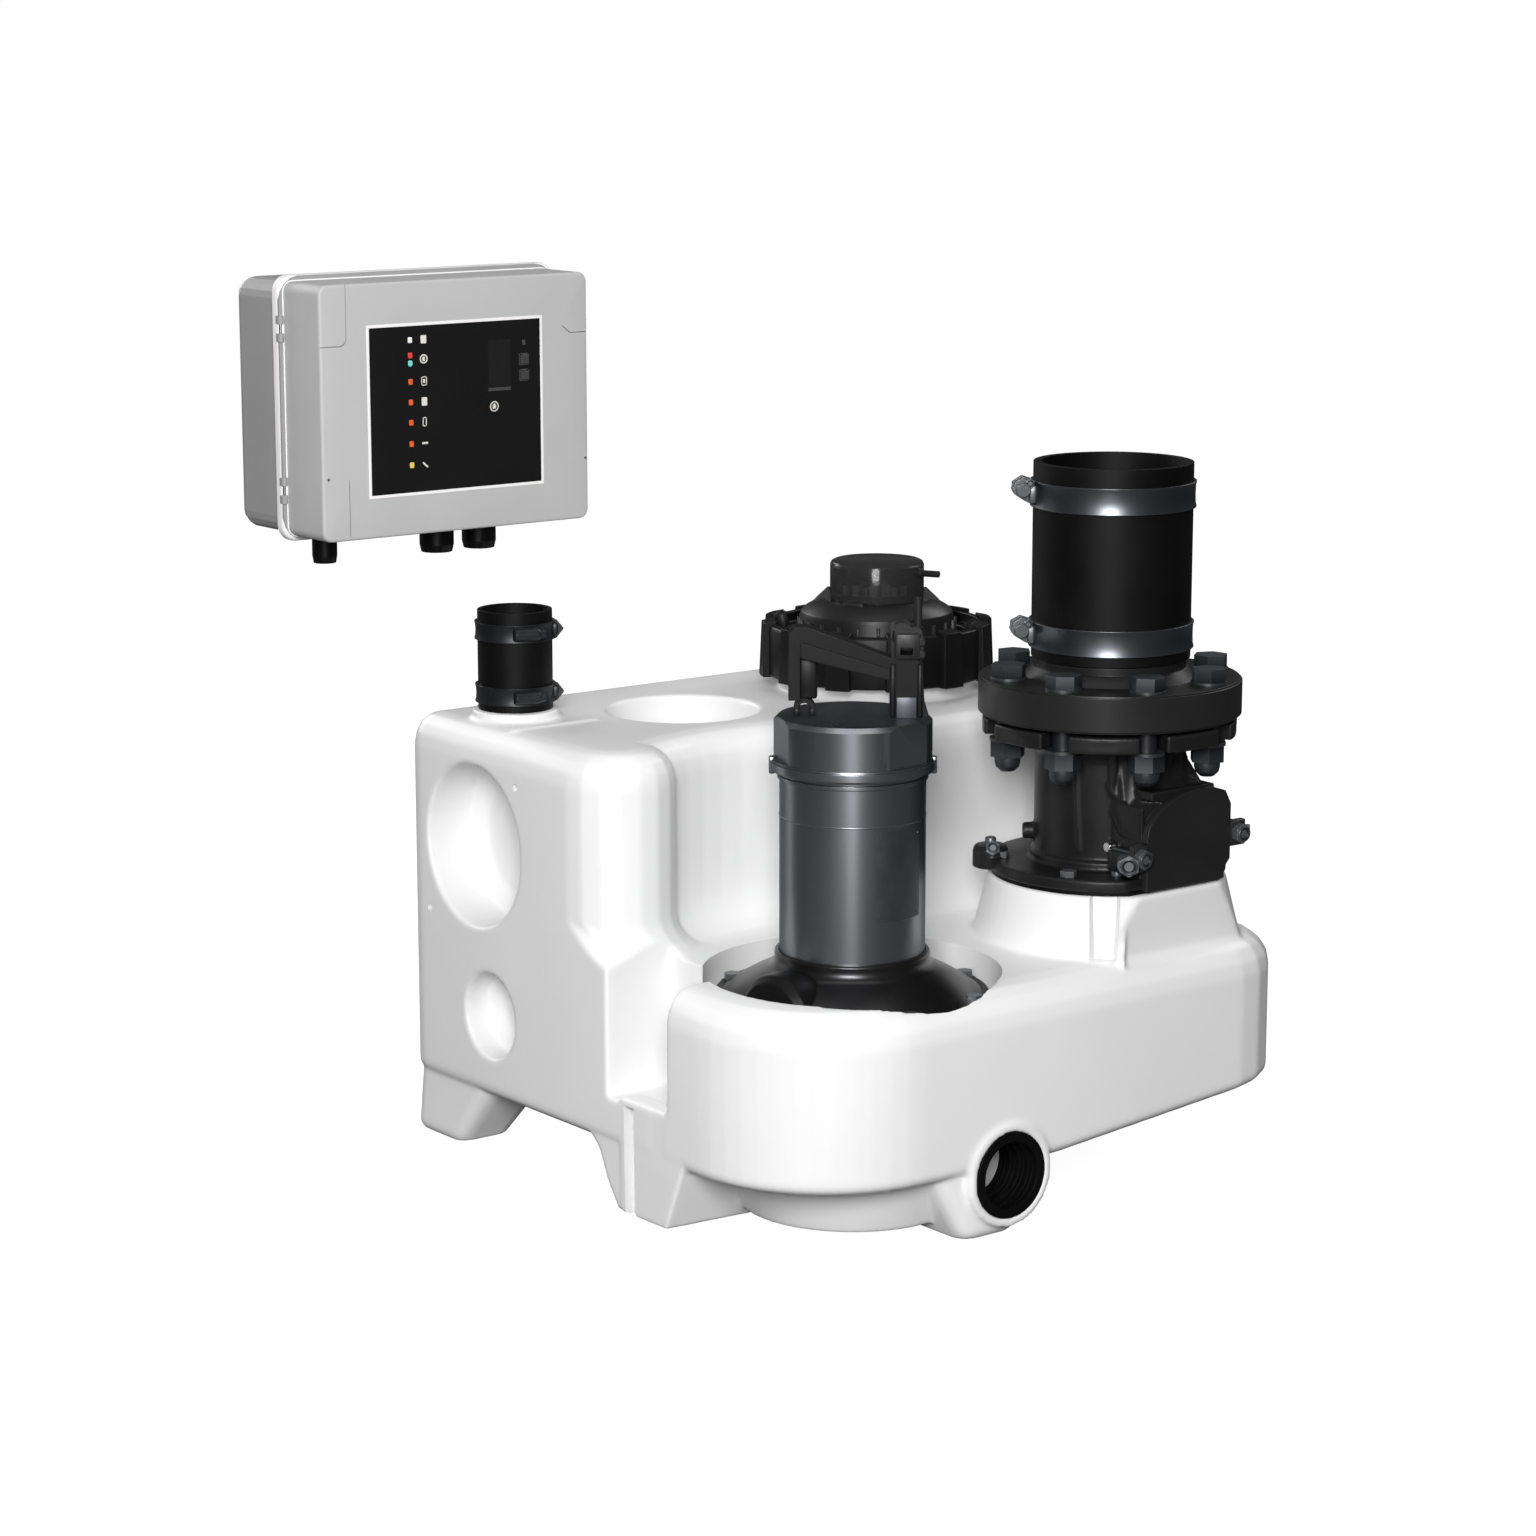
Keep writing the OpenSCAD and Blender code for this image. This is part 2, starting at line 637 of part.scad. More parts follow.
module pump_shaft() {
    color("#9a9da0") at_origin() translate([pump_x, pump_y, pump_mid_z - 12])
        cylinder(r = shaft_r, h = shaft_top - pump_mid_z + 12);
}

rotor_r = 30;
rotor_z = sleeve_z + 32;
rotor_len = sleeve_h - 62;

module rotor_core() {
    color("#6d7073") at_origin() translate([pump_x, pump_y, rotor_z])
        ring_shape(rotor_r, shaft_r + 0.02, rotor_len);
}

// Laminated ring with its two winding heads
module stator() {
    color("#8a5a34") at_origin() translate([pump_x, pump_y, rotor_z]) {
        ring_shape(sleeve_r - sleeve_wall - 0.1, rotor_r + 1, rotor_len);
        for (z = [-12, rotor_len - eps]) translate([0, 0, z])
            ring_shape(sleeve_r - sleeve_wall - 5, rotor_r + 3, 12 + eps);
    }
}

bearing_r = 20;
bearing_h = 12;
bracket_h = 16;

module bearing_bracket() {
    color("#3c3f42") at_origin() translate([pump_x, pump_y, sleeve_z]) difference() {
        cylinder(r = sleeve_r - sleeve_wall - 0.1, h = bracket_h);
        translate([0, 0, bracket_h - bearing_h]) cylinder(r = bearing_r + run_fit, h = bearing_h + 1);
        translate([0, 0, -1]) cylinder(r = bearing_r - 3, h = bracket_h + 2);
    }
}

module lower_bearing() {
    color("#b8bbbe") at_origin() translate([pump_x, pump_y, sleeve_z + bracket_h - bearing_h])
        ring_shape(bearing_r, shaft_r + run_fit, bearing_h);
}

module upper_bearing() {
    color("#b8bbbe") at_origin() translate([pump_x, pump_y, joint_z + 1])
        ring_shape(bearing_r - 3, shaft_r + run_fit, joint_h - 3);
}

module shaft_seal() {
    color("#222222") at_origin() translate([pump_x, pump_y, pump_mid_z + 26])
        ring_shape(24 - run_fit, shaft_r + run_fit, 10);
}

module motor_sleeve() {
    color("#4b525a") at_origin() translate([pump_x, pump_y, sleeve_z])
        ring_shape(sleeve_r - run_fit, sleeve_r - sleeve_wall, sleeve_h);
}

// End shield between the sleeve and the head, with the upper bearing's seat
module motor_joint_ring() {
    color("#565d65") at_origin() translate([pump_x, pump_y, joint_z]) difference() {
        union() {
            cylinder(r = head_r + 1, h = joint_h);
            translate([0, 0, 1.5]) cylinder(r = head_r + 2.5, h = joint_h - 3);
        }
        translate([0, 0, 1]) cylinder(r = bearing_r - 3 + run_fit, h = joint_h);
        translate([0, 0, -1]) cylinder(r = shaft_r + 2, h = joint_h + 2);
    }
}

flat_angles = [-82, 38, 158];

// Motor head: a cup with three flats and a chamfered rim
module motor_head() {
    chamfer = 3.5;
    color("#4a5058") at_origin() translate([pump_x, pump_y, head_z]) difference() {
        union() {
            cylinder(r = head_r, h = head_h - chamfer, $fn = 72);
            translate([0, 0, head_h - chamfer - eps])
                cylinder(r1 = head_r, r2 = head_r - chamfer, h = chamfer, $fn = 72);
        }
        translate([0, 0, -1]) cylinder(r = head_r - 5, h = head_h - 6);
        for (a = flat_angles) rotate([0, 0, a]) translate([head_r - 3.5, -40, -1])
            cube([10, 80, head_h + 2]);
    }
}

strap_angle = -37.6;
strap_t = 18;

// Strap over the motor: a post, a sloping bar and a leg
module motor_strap() {
    z = head_top;
    color("#101010") at_origin() translate([pump_x, pump_y, 0]) rotate([0, 0, strap_angle]) {
        translate([0, strap_t / 2, 0]) rotate([90, 0, 0]) linear_extrude(strap_t) polygon([
            [-48, z], [-38, z], [-38, z + 42], [18, z + 28], [18, z], [50, z], [50, z + 36],
            [44, z + 43], [28, z + 43], [-38, z + 69], [-44, z + 69], [-48, z + 64]]);
        // Clamp foot at the post and a plate on the leg
        translate([-50, -13, z]) cube([16, 26, 9]);
        translate([24, -strap_t / 2 - 4, z]) cube([22, 5, 24]);
    }
}

// Cable block at the right end of the strap, with its nipple
module cable_entry() {
    z = head_top + 43;
    color("#181818") at_origin() translate([pump_x, pump_y, 0]) rotate([0, 0, strap_angle]) {
        difference() {
            union() {
                translate([28, -14, z]) cube([17, 28, 20]);
                translate([36, 14, z + 20]) rotate([90, 0, 0]) cylinder(r = 9, h = 28, $fn = 32);
            }
            translate([38.4, -20, z + 6.5]) rotate([-90, 0, 0]) cylinder(r = 4, h = 26, $fn = 24);
        }
        translate([47, -3, z]) cylinder(r = 3, h = 49, $fn = 20);
        translate([44, -5, z]) cube([3, 5, 12]);
    }
}

// Valve

// Plate with the collar's outline: round, and flat in front
module foot_plate(r, h) {
    difference() {
        cylinder(r = r, h = h, $fn = 72);
        translate([-150, valve_front - valve_y - 100 + 6, -1]) cube([300, 100, h + 2]);
    }
}

module base_gasket() {
    color("#0c0c0c") at_origin() translate([valve_x, valve_y, collar_top]) difference() {
        foot_plate(collar_top_r - 2, gasket_t);
        translate([0, 0, -1]) cylinder(r = flap_r - 7, h = gasket_t + 2);
        foot_screws() translate([0, 0, -1]) cylinder(r = 3.2, h = 10, $fn = 16);
    }
}

chamber_w = 68;
chamber_z0 = foot_t + 6;
chamber_z1 = foot_t + 58;
bulge_left = 36;
bulge_right = 50;
bulge_top = 74;

// Flap valve housing: foot plate, barrel, flap chamber in front and slotted ring on top
module valve_body() {
    color("#121212") at_origin() translate([valve_x, valve_y, foot_z]) difference() {
        union() {
            foot_plate(collar_top_r, foot_t);
            cylinder(r = barrel_r + 3, h = 16);
            cylinder(r = barrel_r, h = valve_body_h + foot_t + 4);
            translate([0, 0, ring_z - foot_z - 14]) cylinder(r1 = barrel_r, r2 = barrel_r + 9, h = 14);
            translate([-bulge_left, valve_front - valve_y + 6, 0])
                cube([bulge_left + bulge_right, 50, bulge_top - 10]);
            translate([-bulge_left + 10, valve_front - valve_y + 6, 0])
                cube([bulge_left + bulge_right - 20, 46, bulge_top]);
            translate([0, 0, ring_z - foot_z]) slotted_ring();
            for (e = cover_ears) translate([e[0] - 8, cover_y - valve_y, e[1] - 8]) cube([16, 22, 16]);
        }
        translate([0, 0, -1]) cylinder(r = flap_r - 7, h = 40);
        translate([0, 0, seat_z]) cylinder(r = valve_bore_r, h = 200);
        translate([-chamber_w / 2, valve_front - valve_y, seat_z])
            cube([chamber_w, 84, chamber_z1 - seat_z]);
        // Holes of the flap's pin, the flange bolts and the foot's screws
        translate([-44, pin_y, pin_z]) rotate([0, 90, 0]) cylinder(r = 4.02, h = 88, $fn = 32);
        around(bolt_count, bolt_pitch_r, 22.5) translate([0, 0, ring_z - foot_z - 1])
            cylinder(r = 9, h = ring_t + 2, $fn = 24);
        foot_screws() translate([0, 0, -1]) cylinder(r = 3.2, h = foot_t + 2, $fn = 16);
        for (e = cover_ears) translate([e[0], cover_y - valve_y - 1, e[1]]) rotate([-90, 0, 0])
            cylinder(r = 4, h = 30, $fn = 20);
    }
}

// Ears that the two cover screws go through, as [x, z] from the valve's axis and foot
cover_ears = [[-bulge_left - 7, 22], [bulge_right + 7, 34]];

// Ring under the flange, notched between its bolts
module slotted_ring() {
    difference() {
        cylinder(r = flange_r - 3.5, h = ring_t, $fn = 72);
        around(bolt_count, flange_r - 2, 22.5 + 180 / bolt_count) translate([0, 0, -1])
            cylinder(r = 10, h = ring_t - 3, $fn = 24);
    }
}

seat_z = foot_t + 11;
pin_y = -46;
pin_z = seat_z + 9;

module base_screws() {
    color("#2d3033") at_origin() translate([valve_x, valve_y, foot_z]) foot_screws() {
        translate([0, 0, -gasket_t - 5]) cylinder(r = 3.1, h = foot_t + gasket_t + 6, $fn = 16);
        translate([0, 0, foot_t]) cylinder(r = 6.5, h = 5, $fn = 6);
    }
}

// Flap: a disc that lies on the seat, its arm and the eye around the pin
module valve_flap() {
    color("#3b3f43") at_origin() translate([valve_x, valve_y, foot_z]) difference() {
        union() {
            translate([0, 0, seat_z + 3.3]) cylinder(r = flap_r, h = 4);
            translate([-6, pin_y, seat_z + 6]) cube([12, 60, 6]);
            translate([-9, pin_y, pin_z]) rotate([0, 90, 0]) cylinder(r = 8, h = 18, $fn = 32);
        }
        translate([-30, pin_y, pin_z]) rotate([0, 90, 0]) cylinder(r = 4 + run_fit, h = 60, $fn = 32);
    }
}

module flap_rubber() {
    color("#0e0e0e") at_origin() translate([valve_x, valve_y, foot_z + seat_z + rest_gap])
        cylinder(r = flap_r - 2, h = 3);
}

module flap_pin() {
    color("#a5a8ab") at_origin() translate([valve_x, valve_y, foot_z]) translate([-43, pin_y, pin_z])
        rotate([0, 90, 0])
        cylinder(r = 4, h = 84, $fn = 32);
}

cover_y = valve_front + 6;

// Outline of the flat cover, seen from the front
function cover_points(d) = [
    [-bulge_left - 1 + d, -1 + d], [bulge_right - 6 - d, -1 + d], [bulge_right - 6 - d, 8],
        [bulge_right - d, 16],
    [bulge_right - d, bulge_top - 14], [bulge_right - 8 - d, bulge_top - 2 - d], [16, bulge_top - d],
    [-14, bulge_top - 6 - d], [-bulge_left + 2 + d, bulge_top - 22 - d],
        [-bulge_left - 1 + d, bulge_top - 32]];

module front_plate(d, y0, t) {
    translate([valve_x, y0 + t, foot_z]) rotate([90, 0, 0]) linear_extrude(t) polygon(cover_points(d));
}

module cover_gasket() {
    color("#0a0a0a") at_origin() difference() {
        front_plate(2, cover_y - 2, 2);
        translate([valve_x - chamber_w / 2, cover_y - 10, foot_z + seat_z])
            cube([chamber_w, 20, chamber_z1 - seat_z]);
    }
}

module valve_cover() {
    color("#1c1c1c") at_origin() difference() {
        union() {
            front_plate(0, cover_y - 8, 6);
            for (e = cover_ears) translate([valve_x + e[0] - 8, cover_y - 8, foot_z + e[1] - 8])
                cube([16, 6, 16]);
        }
        for (e = cover_ears) along_y(valve_x + e[0], cover_y - 9, foot_z + e[1])
            cylinder(r = 4, h = 30, $fn = 20);
    }
}

// Two clamping screws through the cover's ears
module cover_screws() {
    color("#1f2225") at_origin() for (e = cover_ears) along_y(valve_x + e[0], cover_y - 8, foot_z + e[1]) {
        cylinder(r = 3.9, h = 34, $fn = 20);
        translate([0, 0, -5]) cylinder(r = 7.5, h = 5, $fn = 6);
    }
}

module flange_gasket() {
    color("#0b0b0b") at_origin() translate([valve_x, valve_y, ring_z + ring_t]) difference() {
        cylinder(r = bolt_pitch_r - 10, h = gasket_t);
        translate([0, 0, -1]) cylinder(r = valve_bore_r, h = gasket_t + 2);
    }
}

module adapter_flange() {
    color("#151515") at_origin() translate([valve_x, valve_y, flange_bottom]) difference() {
        union() {
            cylinder(r = flange_r - 1.5, h = flange_t, $fn = 72);
            translate([0, 0, 1.5]) cylinder(r = flange_r, h = flange_t - 3, $fn = 72);
            translate([0, 0, flange_t - eps]) cylinder(r1 = hose_out_r + 6, r2 = hose_out_r - 2, h = 8);
            translate([0, 0, flange_t]) cylinder(r = hose_r + 3, h = 14);
            translate([0, 0, flange_t]) cylinder(r = spigot_r, h = 42);
        }
        translate([0, 0, -1]) cylinder(r = valve_bore_r, h = flange_t + 60);
        around(bolt_count, bolt_pitch_r, 22.5) translate([0, 0, -1])
            cylinder(r = 9, h = flange_t + 2, $fn = 24);
    }
}

// Hexagon bolts down through the flange
module flange_bolts() {
    color("#3a3d42") at_origin() translate([valve_x, valve_y, 0]) around(bolt_count, bolt_pitch_r, 22.5) {
        translate([0, 0, ring_z - 22]) cylinder(r = 8, h = flange_top - ring_z + 23, $fn = 24);
        translate([0, 0, flange_top]) cylinder(r = 14, h = 2, $fn = 24);
        translate([0, 0, flange_top + 2 - eps]) cylinder(r = 13.8, h = 10, $fn = 6);
    }
}

module flange_nuts() {
    color("#34373b") at_origin() translate([valve_x, valve_y, 0]) around(bolt_count, bolt_pitch_r, 22.5)
        translate([0, 0, ring_z - 15]) difference() {
            union() {
                cylinder(r = 13.8, h = 12.5, $fn = 6);
                translate([0, 0, 12.5 - eps]) cylinder(r = 14, h = 2.5, $fn = 24);
            }
            translate([0, 0, -1]) cylinder(r = 8.05, h = 20, $fn = 24);
        }
}

module discharge_hose() {
    color("#0a0a0a") at_origin() translate([valve_x, valve_y, hose_z]) difference() {
        ring_shape(hose_out_r, hose_r, hose_len);
        translate([0, 0, -1]) cylinder(r = spigot_r + run_fit, h = 28);
    }
}

// Clamp band with its two lugs and cross screw; a is the direction of the lugs
module clamp(r, h, a, lug) {
    t = 1.5;
    ring_shape(r + t, r + run_fit, h);
    rotate([0, 0, a]) {
        difference() {
            translate([r, -lug * 0.9, h * 0.15]) cube([lug + t, lug * 1.8, h * 0.7]);
            translate([r - 1, -lug * 0.25, -1]) cube([lug * 2, lug * 0.5, h + 2]);
            translate([0, 0, -1]) cylinder(r = r + t / 2, h = h + 2);
        }
        translate([r + t + lug * 0.55, lug * 1.5, h / 2]) rotate([90, 0, 0])
            cylinder(r = h * 0.14, h = lug * 3, $fn = 20);
        translate([r + t + lug * 0.55, -lug * 0.9, h / 2]) rotate([90, 0, 0])
            cylinder(r = h * 0.28, h = lug * 0.5, $fn = 6);
    }
}

module discharge_clamps() {
    color("#4d5157") at_origin() for (z = [8, hose_len - 34]) translate([valve_x, valve_y, hose_z + z])
        clamp(hose_out_r, 20, 150, 11);
}

// Screw cap and level unit

cap_seal_r = neck_r - 6;

module cap_seal() {
    color("#101010") at_origin() translate([cap_x, cap_y, neck_top]) ring_shape(neck_r - 1, neck_r - 6, 2);
}

// Grip ring that holds the cap down on the neck
module cap_ring_nut() {
    top = ring_bottom + ring_h;
    lip_z = cap_flange_z + cap_flange_t + rest_gap;
    color("#191919") at_origin() translate([cap_x, cap_y, ring_bottom]) difference() {
        union() {
            cylinder(r = ring_r - 6, h = ring_h, $fn = 72);
            around(grip_count, 0, 7) grip();
        }
        translate([0, 0, -1]) cylinder(r = neck_r + 0.6, h = lip_z - ring_bottom + 1, $fn = 72);
        translate([0, 0, -1]) cylinder(r = neck_r - 6, h = ring_h + 2, $fn = 72);
        translate([0, 0, ring_h - 12]) cylinder(r = neck_r + 4, h = 20, $fn = 72);
    }
}

module grip() {
    spread = 360 / grip_count * 0.33;
    rise = 10;
    difference() {
        linear_extrude(ring_h) polygon(concat(arc(0, 0, ring_r, -spread, spread, 4),
            arc(0, 0, ring_r - 9, spread, -spread, 4)));
        translate([ring_r - 3.5, -30, ring_h - rise + 6]) rotate([0, -35, 0]) cube([20, 60, 20]);
    }
}

dome_wall = 4;
dome_out_r = neck_r - 8;
dome_mid_r = 64;
dome_neck_r = 36;

// Dome that closes the neck, open in the middle for the level tube
module cap_dome() {
    foot_h = cap_flange_t;
    rise = dome_top - cap_flange_z;
    w = dome_wall;
    color("#1d1d1d") at_origin() translate([cap_x, cap_y, cap_flange_z]) {
        rotate_extrude($fn = 72) polygon([
            [dome_out_r - w - 4, 0], [neck_r, 0], [neck_r, foot_h], [dome_out_r, foot_h],
                [dome_mid_r + 3, foot_h + 3],
            [dome_mid_r + 3, 28], [dome_mid_r, 31], [dome_neck_r + 4, rise - 6], [dome_neck_r, rise - 6],
            [dome_neck_r, rise], [22, rise], [22, rise - w], [dome_neck_r - 4, rise - w],
            [dome_neck_r - 3, rise - 10], [dome_mid_r - w, 27], [dome_mid_r - w - 1, foot_h]]);
        for (i = [0:15]) rotate([0, 0, i * 22.5]) translate([dome_mid_r + 2, -1.5, 12]) cube([3.5, 3, 14]);
    }
}

level_cap_h = 32;
level_cap_r = 38.5;
cap_skirt = 5.7;

module level_cap() {
    color("#161616") at_origin() translate([cap_x, cap_y, dome_top - cap_skirt]) {
        difference() {
            union() {
                cylinder(r = level_cap_r, h = level_cap_h - 2);
                translate([0, 0, level_cap_h - 2 - eps])
                    cylinder(r1 = level_cap_r, r2 = level_cap_r - 3, h = 2);
            }
            translate([0, 0, -1]) cylinder(r = dome_neck_r + 0.3, h = cap_skirt + 1);
            translate([0, 0, -1]) cylinder(r = 34, h = level_cap_h - 3);
            translate([0, 0, nozzle_up + cap_skirt]) rotate([0, 0, nozzle_angle]) rotate([0, 90, 0])
                cylinder(r = nozzle_base_r + 0.02, h = 50, $fn = 32);
        }
        for (i = [0:9]) rotate([0, 0, i * 36]) translate([level_cap_r - 1, -2, 3]) cube([2.2, 4, 12]);
    }
}

nozzle_angle = -62;
nozzle_up = 17;
nozzle_r = 2.7;
nozzle_base_r = 4.2;

module hose_nozzle() {
    color("#0c0c0c") at_origin() translate([cap_x, cap_y, dome_top + nozzle_up])
        rotate([0, 0, nozzle_angle]) rotate([0, 90, 0]) difference() {
        union() {
            translate([0, 0, 33]) cylinder(r = nozzle_base_r, h = level_cap_r - 31, $fn = 32);
            translate([0, 0, level_cap_r + 2 - eps]) cylinder(r = nozzle_r, h = 14.5, $fn = 24);
        }
        translate([0, 0, 36]) cylinder(r = 1.4, h = 22, $fn = 24);
    }
}

// Tube that carries the level down into the tank
module level_tube() {
    color("#8f9296") at_origin() translate([cap_x, cap_y, dome_top - dome_wall - level_tube_len])
        ring_shape(25, 22, level_tube_len);
}

// Vent

module vent_hose() {
    color("#0a0a0a") at_origin() translate([vent_x, vent_y, vent_z]) difference() {
        ring_shape(vent_out_r, vent_hose_r, vent_hose_len);
        translate([0, 0, -1]) cylinder(r = vent_spigot_r + run_fit, h = tank_h + 37 - vent_z);
    }
}

module vent_clamps() {
    color("#3b3e42") at_origin() for (z = [6, vent_hose_len - 23]) translate([vent_x, vent_y, vent_z + z])
        clamp(vent_out_r, 14, -37, 6);
}

// Controller

// Rounded box along Y: rings give [y, inset]
module shell_form(steps, r = 14) {
    cx = ctl_x + ctl_w / 2;
    cz = ctl_z + ctl_h / 2;
    n = len(steps);
    rings = [for (i = [n - 1:-1:0]) let(s = steps[i])
        [for (p = rounded(ctl_w - 2 * s[1], ctl_h - 2 * s[1], max(r - s[1], 2), 4)) [cx + p[0], s[0],
            cz + p[1]]]];
    loft(rings);
}

module controller_back_box() {
    w = ctl_wall + 0.5;
    inner_back = wall_y - w;
    color("#c4c6c8") at_origin() difference() {
        union() {
            shell_form([[part_y, 0], [wall_y - 10, 0], [wall_y - 3, 2.5], [wall_y, 8]]);
            rim();
            box_knuckles();
            for (s = board_posts) along_y(ctl_x + s[0], inner_back - 16, ctl_z + s[1])
                cylinder(r = 4, h = 17, $fn = 24);
        }
        difference() {
            shell_form([[part_y - 1, w], [wall_y - 12, w], [inner_back, w + 7]]);
            for (s = board_posts) along_y(ctl_x + s[0], inner_back - 16, ctl_z + s[1])
                cylinder(r = 4, h = 17, $fn = 24);
        }
        for (x = [-1, 1], z = [-1, 1]) along_y(ctl_x + ctl_w / 2 + x * wall_hole_dx, wall_y - 10,
            ctl_z + ctl_h / 2 + z * wall_hole_dz)
            cylinder(r = 3, h = 20, $fn = 24);
        for (g = glands) translate([ctl_x + g[0], gland_y, ctl_z - 5])
            cylinder(r = g[1] * 0.62, h = 12, $fn = 32);
        along_z_pins() cylinder(r = pin_r + 0.01, h = hinge_len);
        for (z = hinge_zs) translate([hinge_x - 4, part_y - 4, z + hinge_len / 3 - 0.4])
            cube([8, 7.2, hinge_len / 3 + 0.8]);
        gasket_form(0.8, 2.8, part_y - 1);
    }
}

wall_hole_dx = 92;
wall_hole_dz = 70;
board_posts = [for (x = [40, 200], z = [36, 156]) [x, z]];
gland_y = part_y + 40.3;
glands = [[56.2, 10], [161.9, 14], [202.8, 14]];

module along_z_pins() {
    for (z = hinge_zs) translate([hinge_x, part_y, z]) children();
}

// Bright rim of the back box, against which the cover closes
module rim() {
    difference() {
        shell_form([[part_y, -rim_out], [part_y + rim_t, -rim_out], [part_y + rim_t + 3, 0]], 14);
        shell_form([[part_y - 1, 2], [part_y + rim_t + 4, 2]], 14);
    }
}

module box_knuckles() {
    third = hinge_len / 3;
    for (z = hinge_zs, k = [0, 2]) translate([hinge_x, part_y, z + k * third]) {
        cylinder(r = knuckle_r, h = third, $fn = 24);
        translate([-knuckle_r, 0, 0]) cube([2 * knuckle_r, 3, third]);
    }
}

module box_gasket() {
    color("#0f0f0f") at_origin() gasket_form(1, 2.6, part_y);
}

// Flat ring that follows the box's wall, from y to the bottom of its groove
module gasket_form(outside, inside, y) {
    difference() {
        shell_form([[y, outside], [part_y + 2, outside]]);
        shell_form([[y - 1, inside], [part_y + 3, inside]]);
    }
}

board_y = wall_y - ctl_wall - 0.5 - 16;

module circuit_board() {
    color("#2c6b3c") at_origin() translate([ctl_x + 30, board_y - 1.6, ctl_z + 26]) cube([180, 1.6, 140]);
}

// Transformer, relays, fuse and terminal strip
module board_parts() {
    color("#3a3a3a") at_origin() translate([ctl_x, board_y - 1.6, ctl_z]) {
        translate([45, -30, 105]) cube([46, 30, 44]);
        for (i = [0:2]) translate([105 + i * 30, -16, 112]) cube([20, 16, 28]);
        for (i = [0:9]) translate([44 + i * 15, -13, 30]) cube([13, 13, 16]);
        translate([60, -10, 66]) rotate([90, 0, 90]) cylinder(r = 5, h = 24, $fn = 24);
        translate([60, -10, 60]) cube([24, 10, 12]);
    }
}

module hinge_pins() {
    color("#b0b2b5") at_origin() along_z_pins() translate([0, 0, 0.5])
        cylinder(r = pin_r, h = hinge_len - 1, $fn = 24);
}

// Cable glands under the back box
module controller_glands() {
    color("#0b0b0b") at_origin() for (g = glands) translate([ctl_x + g[0], gland_y, ctl_z]) difference() {
        union() {
            translate([0, 0, -30]) cylinder(r1 = g[1] * 0.9, r2 = g[1], h = 6, $fn = 32);
            translate([0, 0, -24 - eps]) cylinder(r = g[1], h = 14, $fn = 32);
            translate([0, 0, -10 - eps]) cylinder(r = g[1], h = 10, $fn = 6);
            translate([0, 0, -1]) cylinder(r = g[1] * 0.6, h = 12, $fn = 32);
        }
        translate([0, 0, -31]) cylinder(r = g[1] * 0.4, h = 60, $fn = 32);
    }
}

module gland_nuts() {
    color("#202020") at_origin() for (g = glands)
        translate([ctl_x + g[0], gland_y, ctl_z + ctl_wall + 0.5]) difference() {
        cylinder(r = g[1] * 0.95, h = 5, $fn = 6);
        translate([0, 0, -1]) cylinder(r = g[1] * 0.6 + 0.05, h = 10, $fn = 32);
    }
}

flap_w = 23.8;
flap_h = 47.5;

// Places of the four corner flaps, as [left, bottom] of each
flaps = [for (x = [0, ctl_w - flap_w], z = [0, ctl_h - flap_h]) [x, z]];

// Front cover: a deep lid, open behind, with the panel's recess in front
module controller_cover() {
    w = ctl_wall;
    color("#c9cbcd") at_origin() difference() {
        union() {
            cover_form();
            cover_knuckles();
        }
        shell_form([[ctl_y + w + 2, w + 3], [ctl_y + w + 6, w], [part_y + 1, w]]);
        translate([panel_x, ctl_y - 1, panel_z]) cube([panel_w, 1 + panel_t, panel_h]);
        for (z = button_zs) translate([button_x - 5, ctl_y, z - 5]) cube([10, 12, 10]);
        for (f = flaps) flap_box(f, 0);
        along_z_pins() cylinder(r = pin_r + run_fit, h = hinge_len, $fn = 24);
    }
}

module cover_form() {
    shell_form([[ctl_y, 3.5], [ctl_y + 1.2, 1.2], [ctl_y + 3.5, 0], [part_y - rest_gap, 0]]);
}

// Corner of the cover's face, 2.4 mm deep; g is the gap along its two inner edges
module flap_box(f, g) {
    x = ctl_x + f[0] + (f[0] == 0 ? -5 : g);
    z = ctl_z + f[1] + (f[1] == 0 ? -5 : g);
    translate([x, ctl_y - 1, z]) cube([flap_w + 5 - g, 3.4, flap_h + 5 - g]);
}

module cover_knuckles() {
    third = hinge_len / 3;
    for (z = hinge_zs) translate([hinge_x, part_y, z + third]) {
        cylinder(r = knuckle_r, h = third, $fn = 24);
        translate([0, -knuckle_r, 0]) cube([4.5, knuckle_r - rest_gap, third]);
    }
}

module screw_flaps() {
    color("#cccdcf") at_origin() intersection() {
        cover_form();
        for (f = flaps) flap_box(f, 0.3);
    }
}

// Black panel with the openings for the buttons
module front_panel() {
    color("#0d0d0d") at_origin() difference() {
        translate([panel_x + 0.2, ctl_y - 0.2, panel_z + 0.2])
            cube([panel_w - 0.4, panel_t + 0.2, panel_h - 0.4]);
        for (z = button_zs) translate([button_x - button_w / 2 - 0.4, ctl_y - 1, z - button_w / 2 - 0.4])
            cube([button_w + 0.8, 5, button_w + 0.8]);
        for (l = lights) along_y(panel_x + l[0], ctl_y - 1, panel_z + l[1])
            cylinder(r = light_r, h = 5, $fn = 20);
    }
}

light_r = 1.6;
light_column = 37.2;
lights = concat([for (z = [118.8, 106.9, 100.8, 86.5, 70.6, 54.8, 38.2, 21.7]) [light_column, z]],
    [[143.2, 111.3]]);

module indicator_lights() {
    color("#d8482a") at_origin() for (l = lights) along_y(panel_x + l[0], ctl_y - 0.5, panel_z + l[1])
        cylinder(r = light_r, h = 2, $fn = 20);
}

